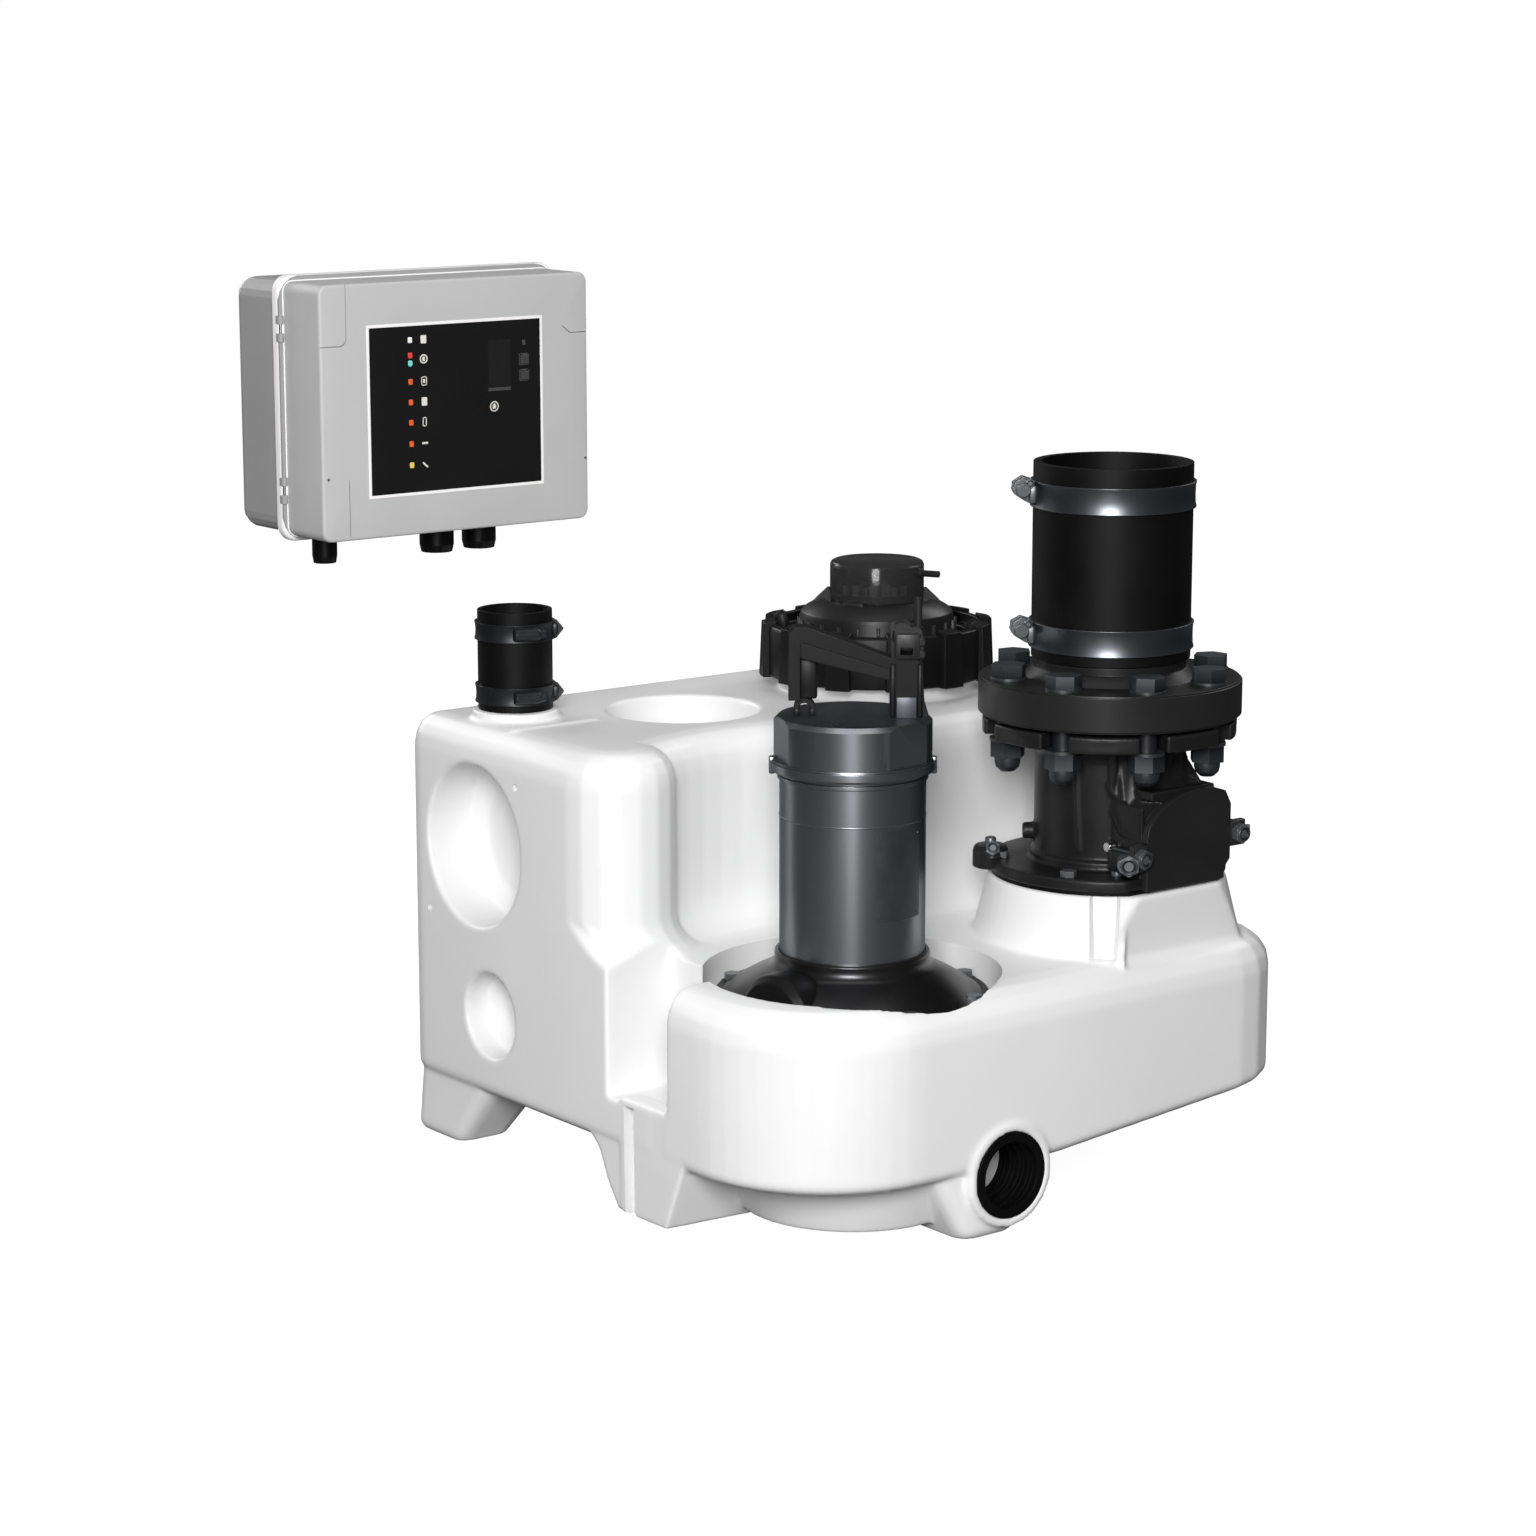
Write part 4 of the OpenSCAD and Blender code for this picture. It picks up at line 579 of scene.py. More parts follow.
def clamp_foot(bm):
    def hook(part):
        face = part.faces.new([part.verts.new((r, y, 0)) for r, y in ((4.5, -4), (8, -4), (8, 8), (4.5, 8))])
        bmesh.ops.spin(part, geom=[face], cent=(0, 0, 0), axis=(0, 1, 0), dvec=(0, 0, 0), angle=-math.pi,
                       steps=16, use_merge=False, use_duplicate=False)
    add(bm, hook, along_strap @ at(-36, 0, 386))
    for x in (-44, -32.5):
        add(bm, block(x, x + 4.5, -4, 8, head_top, 386.5, 0.5), along_strap)
    add(bm, rod(3, 14, 24), along_strap @ at(-33, 14, 404, 0, facing))
    add(bm, rod(6, 5, 6), along_strap @ at(-33, 17, 404, 0, facing))


def leg_plate(bm):
    add(bm, block(31.5, 46.5, -13.4, -8, 379.5, 396.5, 0.5), along_strap)
    add(bm, block(30.5, 47.5, -14.4, -8, 376.6, 378.8, 0.3), along_strap)


part_mesh("motor_strap", strap, deep_black, replaces=["motor_strap"], edge=0.9)
part_mesh("strap_clamp_foot", clamp_foot, deep_black, edge=0.5)
part_mesh("strap_leg_plate", leg_plate, plate_metal, edge=0.4)


# Cable block: a black moulded block on the strap's leg, in two halves that two small screws hold
# together. It has a square entry in front, a round boss and a thin stub pipe that stands on it.
def cable_block(bm):
    add(bm, block(30.5, 49, -14, 14, 424.6, 443.6, 1.6), along_strap)
    add(bm, rod(8.6, 22, 36), along_strap @ at(35.6, 13, 442.6, 0, facing))
    add(bm, rod(5, 20, 32), along_strap @ at(45.4, 12, 443, 0, facing))
    add(bm, block(27.4, 31, -9, 11, 424.6, 446, 0.8), along_strap)
    add(bm, block(48.5, 51.8, -11, 11, 424.6, 441, 0.8), along_strap)


def cable_block_details(bm):
    add(bm, turned([(0.1, 0), (3.1, 0), (3.1, 1.8), (2.5, 2.5), (0.1, 2.5)], 28),
        along_strap @ at(50, -11, 437.4, 0, facing), along_strap @ at(50, -11, 428.4, 0, facing))
    add(bm, rod(2.9, 26, 28), along_strap @ at(47.6, -1, 443, 0))
    add(bm, turned([(0.1, 0), (4.2, 0), (4.2, 3), (3.4, 4), (0.1, 4)], 28),
        along_strap @ at(47.6, -1, 443.6, 0))


block_made = part_mesh("cable_block", cable_block, black_plastic, replaces=["cable_entry"], edge=0)


def square_entry(bm):
    add(bm, block(34.1, 43.4, -30, 8, 427.9, 433.3), along_strap)
    bm.transform(row)


cut(block_made, square_entry, whole=False)
part_mesh("cable_block_details", cable_block_details, black_plastic, edge=0.3)


# Check valve: a moulded black housing with a round barrel, a flap chamber in front and a thick
# ring on top, open at each bolt. It stands on a foot plate that is screwed to the tank's collar.
foot_z = 238
bolt_turns = [22.5 + 45 * k for k in range(8)]
bolt_circle = 82.5
ring_in, ring_out, ring_low, ring_high = 84, 97.8, 345.2, 357.8
bore_r, seat_z = 48.2, 258


def round_valve(a, r, z):
    return (valve[0] + r * math.cos(math.radians(a)), valve[1] + r * math.sin(math.radians(a)), z)


def bolt_slots(bm):
    for turn in bolt_turns:
        add(bm, block(74, 112, -11, 11, 343, 358.02), at(*valve, 0, turn))
    bm.transform(row)


def arc_piece(part):
    profile = ((ring_in, ring_low), (ring_out, ring_low), (ring_out, ring_high), (ring_in, ring_high))
    face = part.faces.new([part.verts.new((r, 0, z)) for r, z in profile])
    bmesh.ops.spin(part, geom=[face], cent=(0, 0, 0), axis=(0, 0, 1), dvec=(0, 0, 0), angle=math.radians(31),
                   steps=10, use_merge=False, use_duplicate=False)


def valve_forms(bm):
    add(bm, arc_piece, *[at(*valve, 0, turn + 7) for turn in bolt_turns])
    front = [(49, 20, 15), (49, 20, 57), (43, 20, 68), (29, 20, 72.5), (14, 20, 73), (0, 20, 71),
             (-14, 20, 66), (-27, 20, 58), (-34, 20, 50), (-36, 20, 38)]
    waist = [(49.5, 42, 18), (49.5, 42, 58), (44, 36, 71), (29, 31, 77.5), (14, 29.5, 79), (0, 30, 78),
             (-14, 32, 74), (-27, 36, 67), (-34, 39, 58), (-37, 42, 40)]
    back = [(54, 88, 20), (56.5, 92, 60), (56, 88, 107), (46, 62, 107.5), (30, 48, 107.5), (12, 41, 107.5),
            (-4, 40, 107.5), (-20, 43, 107), (-32, 49, 106), (-38, 54, 60)]
    add(bm, between(front, waist), at(valve[0], 0, foot_z))
    add(bm, between(waist, back), at(valve[0], 0, foot_z))
    add(bm, slab([(-36, 0), (43, 0), (49, 15), (49, 57), (43, 68), (29, 72.5), (14, 73), (0, 71), (-14, 66),
                  (-27, 58), (-34, 50), (-36, 42)], 26), at(valve[0], 44, foot_z, 0, facing))
    add(bm, turned([(0, 0), (14, 0), (14, 14), (12, 18), (0, 19)], 32), at(308, 150, foot_z))
    add(bm, rod(6.5, 16, 24), at(*valve, 267, 142.4) @ at(50, 0, 0, 0, about("Y", 90)))
    add(bm, bead([round_valve(a, r, z) for a, r, z in (
        (231, 62, 343), (231, 59, 333), (231, 57.5, 322), (229.5, 57, 314), (231, 57, 309), (236, 58, 304),
        (243, 60, 298), (250, 62, 291), (255, 64, 285))], 3.2))
    add(bm, bead([round_valve(a, 57, z) for a, z in ((201, 330), (203, 300), (205, 262))], 1.6))


valve_made = merged_copy("valve_body", "valve_housing")
cut(valve_made, bolt_slots)
join(valve_made, valve_forms)
fuse(valve_made, grid=0.0012, relax=6, faces=120000)


def hollow(obj, make, place=Matrix()):
    def tool(bm):
        add(bm, make, place)
        bm.transform(row)
    cut(obj, tool)


# The flap's room: the bore, the way into the chamber, steps that follow the arch, the pin's hole.
hollow(valve_made, rod(bore_r, 110, 96), at(*valve, seat_z))
hollow(valve_made, block(345.8, 414.2, 50, 95, 257.8, 305.2))
for x, z in ((346, 284), (359, 296), (372, 302)):
    hollow(valve_made, block(x, 414, 17, 95, 257.9, z))
hollow(valve_made, rod(4.1, 86, 24), at(337, 49, 267, 0, about("Y", 90)))
for face in valve_made.data.polygons:
    face.use_smooth = True
valve_made.data.set_sharp_from_angle(angle=math.radians(50))
belongs(valve_made, black_plastic, "station", ["valve_body"])


# Chamber cover: a thick flat moulded lid with an arched top over a rubber gasket, held by
# blackened clamping screws at its two ears. A hook and a round stub stand at the valve's left.
def chamber_cover(bm):
    add(bm, slab([(-37, 0), (44, 0), (44, 8), (50, 15), (50, 58), (44, 69), (30, 73.5), (14, 74), (0, 72),
                  (-14, 67), (-27, 59), (-35, 50), (-37, 42)], 6), at(valve[0], 16, foot_z, 0, facing))
    add(bm, block(-51, -35, 10, 16, 16, 38, 1), at(valve[0], 0, foot_z))
    add(bm, block(48, 66, 10, 16, 24, 44, 1), at(valve[0], 0, foot_z))


def hex_head(bm, place, r, h):
    add(bm, rod(r, h, 6), place)
    add(bm, turned([(r * 0.42, h - 1), (r * 0.8, h - 1), (r * 0.8, h + 1.2), (r * 0.66, h + 1.8),
                    (r * 0.42, h + 0.6)], 28), place)


def ear_screws(bm):
    for x, z in ((336, 265), (438, 272)):
        hex_head(bm, at(x, 10, z, 0, facing), 7.8, 6)
        add(bm, rod(4, 30, 20), at(x, 40, z, 0, facing))
    hex_head(bm, at(326, 12, 262, -42, facing), 8.4, 9)
    add(bm, rod(6, 16, 24), at(331, 22, 262, -42, facing))
    add(bm, rod(4.2, 18, 24), at(436, 21, 273, 48, facing))
    add(bm, slab([(0, -5), (13, -4), (17, 3), (12, 10), (0, 13)], 5), at(428, 19, 268, 0, facing),
        at(431, 27, 270, 0, facing))
    hex_head(bm, at(308, 148, 250, -38, about("X", 62)), 6, 12)
    add(bm, turned([(0, 0), (4.4, 0), (4.4, 4), (3.6, 5.4), (0, 5.6)], 24), at(308, 150, 256.5),
        at(338, 38, 246.8))


part_mesh("chamber_cover", chamber_cover, black_plastic, replaces=["valve_cover"], edge=1.6, steps=3)
# The dark and blackened steels are tinted lighter on their edges as a painted highlight.
dark_steel = finish("dark steel", (0.03, 0.031, 0.036), 0.42, metal=0.75, gloss=0.5, mottle=0.1, grain=0.1,
                    edge_highlight=0.5, edge_highlight_colour=(0.2, 0.21, 0.22))
black_steel = finish("blackened steel", (0.02, 0.021, 0.023), 0.35, metal=0.6, mottle=0.1, grain=0.1,
                     edge_highlight=0.6, edge_highlight_colour=(0.3, 0.31, 0.32))
part_mesh("ear_screws", ear_screws, black_steel, replaces=["cover_screws"], edge=0.5)


# Outlet flange: a plain thick ring of black plastic on the valve's ring. Eight dark steel bolts
# with hexagon heads hold it down, and their nuts end in round cap tips below the valve's ring.
dress("adapter_flange", black_plastic, edge=0.0012)


def bolt_tips(bm):
    add(bm, turned([(0, 317.5), (5.5, 318.6), (9, 322), (10, 326), (10, 330.2), (0, 330.2)], 32),
        *[at(*valve, 0, turn) @ at(bolt_circle, 0, 0) for turn in bolt_turns])


part_mesh("bolt_tips", bolt_tips, dark_steel, edge=0.3)
for name in ("flange_bolts", "flange_nuts"):
    dress(name, dark_steel, edge=0.0009)
for name in ("base_screws", "flange_screws"):
    dress(name, black_steel, edge=0.0004)


# Discharge hose: a plain black rubber sleeve held by two wide steel bands with rolled edges.
# Each band is closed at the left by two lugs and a bolt.
dress("discharge_hose", black_rubber, edge=0.0012)
# The band steel is tinted lighter on its edges as a painted highlight.
band_steel = finish("band steel", (0.12, 0.127, 0.14), 0.33, metal=0.95, mottle=0.08, grain=0.06, edge_highlight=0.4,
                    edge_highlight_colour=(0.35, 0.36, 0.38), stretch=(1, 1, 0.2))
hose_band_heights = (413, 521)
hose_band_r, hose_band_h = 61.25, 20
lug_turn = 146


def band(r, h):
    return turned([(r, 0), (r + 2.3, 0), (r + 2.2, 1), (r + 1.6, 3), (r + 1.4, h / 2), (r + 1.6, h - 3),
                   (r + 2.2, h - 1), (r + 2.3, h), (r, h)])


def hose_bands(bm):
    for z in hose_band_heights:
        add(bm, band(hose_band_r, hose_band_h), at(*valve, z))


def band_lugs(bm):
    for z in hose_band_heights:
        place = at(*valve, z, lug_turn)
        for y in (-7, 3):
            add(bm, slab([(61, 1), (68, 4), (76, 9), (78, 13), (76, 19), (70, 23), (61, 20)], 3.5),
                place @ at(0, y + 3.5, 0, 0, facing))
        add(bm, rod(3, 32, 24), place @ at(71, 17, 14, 0, facing))
        hex_head(bm, place @ at(71, -14, 14, 0, facing), 5.5, 5)
        add(bm, rod(5.2, 8, 24), place @ at(71, 18, 14, 0, facing))
        hex_head(bm, place @ at(66, 12, 19, 0, about("X", -90)), 4, 4)
        add(bm, block(58, 66, -12, 12, 3, 17, 1.2), place)


part_mesh("hose_bands", hose_bands, band_steel, replaces=["discharge_clamps"], edge=0.3,
          crease=25)
part_mesh("band_lugs", band_lugs, black_steel, edge=0.4)


# Vent hose: a short black rubber sleeve over the tank's spout, held by two narrow dark steel bands
# with worm drives; each screw housing sits in front, and the band's tail stands out at the right.
dress("vent_hose", black_rubber, edge=0.001)
vent = (56, 433)
vent_band_heights = (357, 407)
vent_band_r, vent_band_h = 29.6, 14
worm_turn, tail_turn = 252, 324


def vent_bands(bm):
    for z in vent_band_heights:
        add(bm, band(vent_band_r, vent_band_h), at(*vent, z))


def worm_drives(bm):
    for z in vent_band_heights:
        place = at(*vent, z, worm_turn)
        add(bm, block(28, 33.4, -10, 10, 1.5, 12.5, 1.6), place)
        add(bm, turned([(0, -11), (4, -11), (5, -9.5), (5, 9), (4, 10), (0, 10)], 28),
            place @ at(32.6, 0, 7, 0, facing))
        hex_head(bm, place @ at(32.6, 10, 7, 0, about("X", -90)), 4.2, 4)
        tail = at(*vent, z, tail_turn)
        add(bm, slab([(29, -2), (33, 0), (38.5, 7), (33, 14), (29, 15)], 3), tail @ at(0, 1.5, 0, 0, facing))
        add(bm, block(29, 34, -6, 6, 2, 12, 1), tail)


vent_steel = finish("vent band steel", (0.022, 0.023, 0.025), 0.42, metal=0.6, mottle=0.15,
                    mottle_size=0.012, grain=0.1)
part_mesh("vent_bands", vent_bands, vent_steel, replaces=["vent_clamps"], edge=0.3,
          crease=25)
part_mesh("worm_drives", worm_drives, vent_steel, edge=0.4)


# Screw cap: a black moulded grip ring with twelve wide ribs that end a little above its rim, and
# six catches inside it. It is screwed on the tank's neck and holds the dome down.
cap = (364, 360)
grip_ribs, first_rib = 12, 271.6
catches, first_catch, catch_z, catch_reach = 6, 247, 390.6, 74.5


def grip_ring(bm):
    add(bm, turned([(80.7, 357), (90.4, 357), (91.6, 358.2), (91.6, 396), (90.6, 398.6), (88, 399.6),
                    (84, 399.4), (84, 391), (74.2, 391), (74.2, 380.8), (80.7, 380.8)]), at(*cap, 0))
    rib_foot = [(86, -10.4, 356.4), (96.2, -10.4, 356.4), (96.9, 0, 356.4), (96.2, 10.4, 356.4),
                (86, 10.4, 356.4)]
    rib_top = [(84.4, -9.2, 403), (94.4, -9.2, 401), (95.1, 0, 401), (94.4, 9.2, 401), (84.4, 9.2, 403)]
    for k in range(grip_ribs):
        place = at(*cap, 0, first_rib + 360 / grip_ribs * k)
        add(bm, between(rib_foot, rib_top), place)
    for k in range(catches):
        place = at(*cap, catch_z, first_catch + 360 / catches * k)
        add(bm, block(0, 9.5, -5, 5, -2, 14, 1.2), place @ at(catch_reach, 0, 0, 0, about("Y", 14)))


part_mesh("grip_ring", grip_ring, deep_black, body="ring_nut", replaces=["cap_ring_nut"], edge=1.6, steps=3)


# Dome: the cap's moulded bell, black, ribbed around its foot, with a stepped neck that the level
# cap stands on and a web at each of its sides.
foot_ribs, first_foot_rib = 24, 7
web_turns, latch_turn = (140.8, 320.8), 206


def dome(bm):
    add(bm, turned([(58, 374.3), (80, 374.3), (80, 380.2), (67, 380.3), (64.4, 382.4), (63, 386), (63, 405),
                    (62, 408.4), (58.6, 411.6), (51, 416.2), (45.6, 418.6), (44, 418.8), (43, 417.4),
                    (40, 416.6), (36, 416.6), (36, 424.2), (22, 424.2), (22, 420.2), (31, 419.6), (33, 413),
                    (54, 404), (57, 386)]), at(*cap, 0))
    for k in range(foot_ribs):
        place = at(*cap, 0, first_foot_rib + 360 / foot_ribs * k)
        add(bm, block(61.5, 65.4, -1.3, 1.3, 384, 403, 0.5), place)
    for a in web_turns:
        add(bm, slab([(37, 414), (55, 412.6), (49, 419), (40.5, 427), (38.6, 427)], 9),
            at(*cap, 0, a) @ at(0, 4.5, 0, 0, facing))
    add(bm, block(39, 47, -9, 9, 411, 420.4, 1.4), at(*cap, 0, latch_turn))


part_mesh("cap_dome", dome, black_plastic, body="level_unit", replaces=["cap_dome"], edge=0.5)


# Level unit: a smoked clear cover over a dark insert with upright ribs and a few light faces,
# and the nozzle of the pressure hose. It is clipped on the dome and turns with it.
smoked = finish("smoked plastic", (0.2, 0.2, 0.203), 0.14, gloss=0.12, mottle=0.03, clear=0.9, grain=0.0)
insert_grey = finish("insert grey", (0.07, 0.07, 0.071), 0.5, gloss=0.2, mottle=0.1)
insert_light = finish("insert light", (0.6, 0.6, 0.6), 0.5, gloss=0.2, mottle=0.1)
insert_ribs, first_insert_rib = 10, 12


def clear_cover(bm):
    add(bm, turned([(0, 450.2), (35, 450.2), (37.4, 449), (38.5, 446.4), (38.5, 418.4), (36.4, 418.4),
                    (36.4, 445), (35.4, 447), (33.8, 447.8), (0, 447.8)]), at(*cap, 0))


def level_insert(bm):
    add(bm, turned([(0, 424.6), (30, 424.6), (31.4, 426), (31.4, 428), (27, 429), (27, 437), (24, 439),
                    (24, 441.6), (0, 441.6)]), at(*cap, 0))
    for k in range(insert_ribs):
        place = at(*cap, 0, first_insert_rib + 360 / insert_ribs * k)
        add(bm, block(26, 33.4, -2.4, 2.4, 421.5, 437.6, 0.7), place)
    add(bm, turned([(29.5, 437.5), (34.3, 437.5), (34.3, 439), (29.5, 439)]), at(*cap, 0))


def level_windows(bm):
    for a, half, z0, z1 in ((200, 2.4, 421, 433), (214, 1.6, 424, 431), (226, 3.4, 420.5, 433),
                            (244, 3, 422, 434), (256, 2, 424, 431), (270, 2.6, 422, 432),
                            (182, 2, 423, 432)):
        add(bm, block(27, 34.8, -half, half, z0, z1, 0.6), at(*cap, 0, a))


part_mesh("level_cover", clear_cover, smoked, body="level_unit", replaces=["level_cap"], edge=0, crease=40)
part_mesh("level_insert", level_insert, insert_grey, body="level_unit", edge=0.3)
part_mesh("level_windows", level_windows, insert_light, body="level_unit", edge=0)
for name in ("hose_nozzle", "level_tube"):
    dress(name, black_plastic)


# Controller: a shallow grey wall box with a rounded rim, and a deep cover on a hinge at
# its left. Both are moulded; small flaps over the screws close the cover's corners. The box's
# grey is darker than the cover's as painted shade on it, and the rim is painted near white as a
# highlight.
painted_shade_box_grey = finish("box grey with painted shade", (0.32, 0.32, 0.322), 0.5, gloss=0.35, mottle=0.015, grain=0.12,
                  grain_size=0.0007)
cover_grey = finish("cover grey", (0.49, 0.49, 0.49), 0.5, gloss=0.35, mottle=0.012, grain=0.12,
                    grain_size=0.0007)
highlight_and_trim_white = finish("rim highlight and trim white", (0.88, 0.87, 0.865), 0.4, gloss=0.45, mottle=0.01, grain=0.08)
dress("controller_back_box", painted_shade_box_grey, edge=0.0012, crease=24)
left, low, wide, high = -92.7, 489.6, 248, 197.4
right, top = left + wide, low + high
face_y, joint_y = 471.9, 524.3
panel_x, panel_z, panel_w, panel_h = -49.3, 522.7, 159, 130
side_wall, face_wall = 4, 4.6
cover_corner, cover_lip = 8, 2.4


def plate(x0, x1, z0, z1, near, far, corner=0.0, lip=0.0, steps=6):
    def make(bm):
        base = bmesh.new()
        slab([(x0, z0), (x1, z0), (x1, z1), (x0, z1)], far - near, corner, steps)(base)
        if lip:
            bmesh.ops.recalc_face_normals(base, faces=base.faces)
            rim_edges = [e for e in base.edges if all(v.co.z > far - near - 0.01 for v in e.verts)]
            bmesh.ops.bevel(base, geom=rim_edges, offset=lip, segments=4, profile=0.5, affect="EDGES",
                            material=-1, offset_type="OFFSET", clamp_overlap=True)
        base.transform(at(0, far, 0, 0, facing))
        mesh = bpy.data.meshes.new("plate")
        base.to_mesh(mesh)
        base.free()
        bm.from_mesh(mesh)
        bpy.data.meshes.remove(mesh)
    return make


cover_solid = plate(left, right, low, top, face_y, joint_y, cover_corner, cover_lip)
cover_made = part_mesh("controller_cover", lambda bm: add(bm, cover_solid), cover_grey,
                       body="controller_door", replaces=["controller_cover"], edge=0,
                       crease=35)


def cover_cuts(bm):
    add(bm, plate(left + side_wall, right - side_wall, low + side_wall, top - side_wall,
                  face_y + face_wall, joint_y + 3, 6))
    add(bm, block(panel_x, panel_x + panel_w, face_y - 3, face_y + 1.5, panel_z, panel_z + panel_h))
    bm.transform(row)


flap_w, flap_h, gap = 23.8, 47.5, 0.7
left_flap, right_flap = (left - 6, left + flap_w), (right - flap_w, right + 6)
low_flap, high_flap = (low - 6, low + flap_h), (top - flap_h, top + 6)
corners = [(*left_flap, *low_flap), (*right_flap, *low_flap), (*left_flap, *high_flap),
           (*right_flap, *high_flap)]


def flap_plates(open_gap, shut_gap):
    def make(bm):
        for number, (x0, x1, z0, z1) in enumerate(corners):
            inset = open_gap if number == 2 else shut_gap
            add(bm, plate(x0 + inset, x1 - inset, z0 + inset, z1 - inset, face_y - 3, face_y + 2.4, 6))
        bm.transform(row)
    return make


flaps = part_mesh("corner_flaps", lambda bm: add(bm, cover_solid), cover_grey, body="controller_door",
                  replaces=["screw_flaps"], edge=0, crease=35)
keep = new_piece("keep", flap_plates(gap, 0.01))
meet = flaps.modifiers.new("meet", "BOOLEAN")
meet.operation = "INTERSECT"
meet.object = keep
meet.solver = "MANIFOLD"
settle(flaps)
bpy.data.objects.remove(keep)
cut(cover_made, flap_plates(0, 0))
cut(cover_made, cover_cuts)
for made in (cover_made, flaps):
    for face in made.data.polygons:
        face.use_smooth = True
    made.data.set_sharp_from_angle(angle=math.radians(35))


rim_out, rim_near, rim_far, rim_corner, rim_lip = 4.6, 524.5, 533.6, 13, 4.2


# The rim bead is painted near white: a painted highlight along the box's rounded rim.
def rim_bead(bm):
    add(bm, plate(left - rim_out, right + rim_out, low - rim_out, top + rim_out, rim_near, rim_far,
                  rim_corner, rim_lip))


rim = part_mesh("rim_bead", rim_bead, highlight_and_trim_white, edge=0, crease=50)


def rim_middle(bm):
    add(bm, plate(left + 1, right - 1, low + 1, top - 1, 520, 540, 8))
    bm.transform(row)


cut(rim, rim_middle)
rim_soft = rim.modifiers.new("edges", "BEVEL")
rim_soft.width = 0.004
rim_soft.segments = 4
rim_soft.limit_method = "ANGLE"
rim_soft.angle_limit = math.radians(50)
for face in rim.data.polygons:
    face.use_smooth = True


# Cover marks, all in the seam shadow grey: two small dots at the lower flaps and thin lines along the flaps'
# edges, painted shadow in the seams.
def cover_marks(bm):
    for x in (left + 5.2, right - 3):
        add(bm, rod(1.1, 0.5, 16), at(x, face_y + 0.3, low + flap_h + 1.4, 0, facing))
    add(bm, block(right - 17, right - 2, face_y - 0.05, face_y + 0.3, top - 47.8, top - 47.2))
    add(bm, block(-0.3, 0.3, -0.05, 0.3, 0, 9), at(right - 17, face_y, top - 47.5) @ about("Y", -52))
    add(bm, block(left + flap_w - 0.2, left + flap_w + 0.2, face_y - 0.05, face_y + 0.3, low + 3,
                  low + flap_h))


seam_shadow_grey = finish("seam shadow", (0.07, 0.07, 0.07), 0.6)
part_mesh("cover_marks", cover_marks, seam_shadow_grey, body="controller_door", edge=0)


# Front panel: a glossy black foil, glued in the cover's shallow window and framed by a thin bright
# line. It has a dark display, two keys, a column of small square lamps and plain printed signs.
panel_black = finish("panel black", (0.0085, 0.0085, 0.0088), 0.3, gloss=0.4, mottle=0.05, grain=0.03)
display_glass = finish("display glass", (0.014, 0.014, 0.0145), 0.25, gloss=0.4, mottle=0.05, grain=0.02)
dress("front_panel", panel_black, edge=0.0002)
dress("display_window", display_glass, edge=0)
frame_line = 2
lamp_x, sign_x, circle_x, key_x = 37.2, 49.6, 114.6, 143.2


def panel_frame(bm):
    w, h = panel_w, panel_h
    line = frame_line
    for x0, x1, z0, z1 in ((-line, w + line, -line, 0.4), (-line, w + line, h - 0.4, h + line),
                           (-line, 0.4, 0.4, h - 0.4), (w - 0.4, w + line, 0.4, h - 0.4)):
        add(bm, block(panel_x + x0, panel_x + x1, face_y - 0.35, face_y + 0.6, panel_z + z0, panel_z + z1))


part_mesh("panel_frame", panel_frame, highlight_and_trim_white, body="controller_door", edge=0.2)


def tile(bm, x, z, w, h, y=0.5, thick=0.5, corner=0.8):
    add(bm, plate(panel_x + x - w / 2, panel_x + x + w / 2, panel_z + z - h / 2, panel_z + z + h / 2,
                  face_y - y, face_y - y + thick, corner, 0, 2))


def outline(bm, x, z, w, h, line=0.7):
    for x0, x1, z0, z1 in ((-w / 2, w / 2, -h / 2, -h / 2 + line), (-w / 2, w / 2, h / 2 - line, h / 2),
                           (-w / 2, -w / 2 + line, -h / 2, h / 2), (w / 2 - line, w / 2, -h / 2, h / 2)):
        add(bm, block(panel_x + x + x0, panel_x + x + x1, face_y - 0.35, face_y - 0.1, panel_z + z + z0,
                      panel_z + z + z1))


# Heights of the lamps over the panel's lower edge.
lamp_rows = {"white": (118.8,), "red": (106.9,), "teal": (100.8,), "orange": (86.5, 70.6, 54.8, 38.2),
             "yellow": (21.7,)}
lamp_colours = {"white": (0.85, 0.85, 0.8), "red": (0.75, 0.05, 0.06), "teal": (0.2, 0.62, 0.6),
                "orange": (0.72, 0.12, 0.03), "yellow": (0.8, 0.62, 0.12)}
for colour, rows in lamp_rows.items():
    lamp_lens = finish(colour + " lamp lens", lamp_colours[colour], 0.3, mottle=0.1, mottle_size=0.002,
                       grain=0.05)
    part_mesh("lamps_" + colour, lambda bm: [tile(bm, lamp_x, z, 3.8, 4.5, 0.7, 0.9) for z in rows],
              lamp_lens, body="controller_door",
              replaces=["indicator_lights"] if colour == "white" else (), edge=0.2)


def on_panel(x, z):
    return at(panel_x + x, face_y - 0.1, panel_z + z)


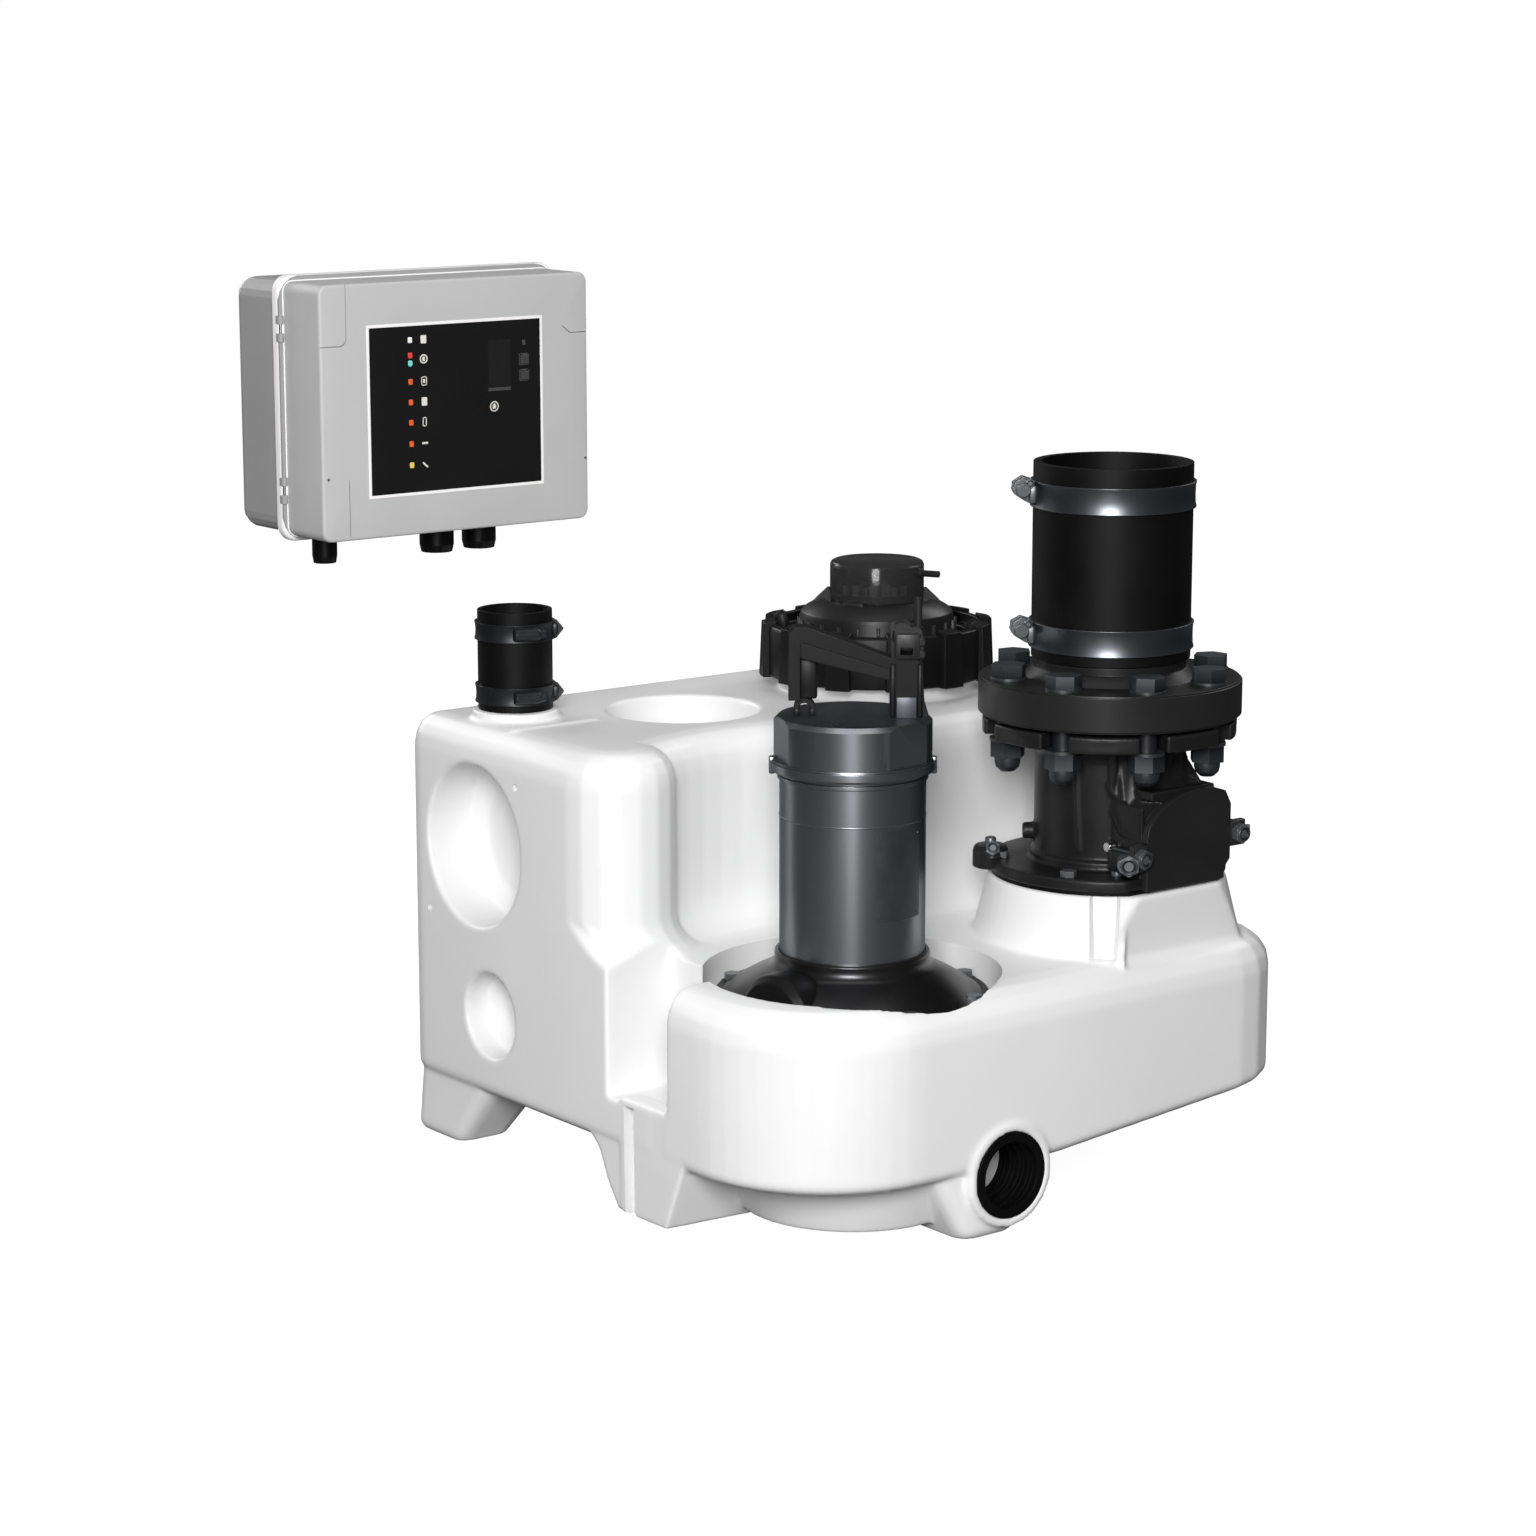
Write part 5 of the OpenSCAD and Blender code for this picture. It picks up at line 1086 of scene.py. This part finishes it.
def printed_signs(bm):
    tile(bm, sign_x, 118.8, 5.2, 6.4, 0.35, 0.25)
    add(bm, turned([(2.6, 0), (3.6, 0), (3.6, 0.25), (2.6, 0.25)], 40), on_panel(sign_x, 103.6) @ facing)
    tile(bm, sign_x, 103.6, 2.2, 3.4, 0.35, 0.25, 0.5)
    outline(bm, sign_x, 86.5, 5.2, 7)
    tile(bm, sign_x, 86.5, 2, 3, 0.35, 0.25, 0.4)
    tile(bm, sign_x, 70.6, 5, 6.6, 0.35, 0.25)
    outline(bm, sign_x, 54.8, 3.6, 7.2)
    tile(bm, sign_x, 38.2, 5.4, 1.6, 0.35, 0.25, 0.4)
    add(bm, turned([(3.2, 0), (4.1, 0), (4.1, 0.25), (3.2, 0.25)], 40), on_panel(circle_x, 62.6) @ facing)
    tile(bm, circle_x, 62, 3, 2.6, 0.35, 0.25, 0.3)
    add(bm, slab([(-2, 0), (2, 0), (0, 1.6)], 0.25), on_panel(circle_x, 63.4) @ facing)
    add(bm, block(-3, 3, -0.25, 0, -0.7, 0.7), on_panel(sign_x, 21.2) @ about("Y", 42))


sign_paint = finish("sign paint", (0.7, 0.68, 0.62), 0.5, mottle=0.1, mottle_size=0.004)
part_mesh("printed_signs", printed_signs, sign_paint, body="controller_door", edge=0)
dim_paint = finish("dim paint", (0.06, 0.06, 0.062), 0.4, mottle=0.05)


def dim_marks(bm):
    tile(bm, 119.8, 76, 21, 2.6, 0.35, 0.25, 0.3)
    tile(bm, key_x, 111.3, 2.6, 4, 0.5, 0.5, 0.4)
    for z in (98.2, 85.8):
        outline(bm, key_x, z, 9.4, 9.4, 0.6)


part_mesh("dim_marks", dim_marks, dim_paint, body="controller_door", edge=0)


button_grey = finish("button grey", (0.05, 0.05, 0.052), 0.45, mottle=0.08)
for name in ("upper_button", "lower_button"):
    dress(name, button_grey, edge=0.0003)
gland_black = finish("gland nylon", (0.004, 0.004, 0.0042), 0.35, gloss=0.25, mottle=0.1, grain=0.1)
for name in ("controller_glands", "gland_nuts"):
    dress(name, gland_black, edge=0.0008, crease=24)


# Inside: the board with its parts stands in the wall box and shows when the cover is open. The
# winding, the shaft with its bearings and the delivery bend stay hidden in the motor and the tank.
board_green = finish("board", (0.02, 0.15, 0.06), 0.5, mottle=0.2, mottle_size=0.004)
board_plastic = finish("board parts", (0.05, 0.05, 0.055), 0.45)
dress("circuit_board", board_green, edge=0)
dress("board_parts", board_plastic, edge=0.0004)
bright_steel = finish("bright steel", (0.5, 0.5, 0.5), 0.25, metal=1.0)
for name in ("pump_shaft", "rotor_core", "lower_bearing", "upper_bearing", "flap_pin", "hinge_pins"):
    dress(name, bright_steel)
copper = finish("winding", (0.35, 0.14, 0.06), 0.4, metal=0.8)
for name in ("stator", "shaft_seal"):
    dress(name, copper)
pipe_plastic = finish("pipe plastic", (0.03, 0.03, 0.032), 0.45)
dress("delivery_bend", pipe_plastic)
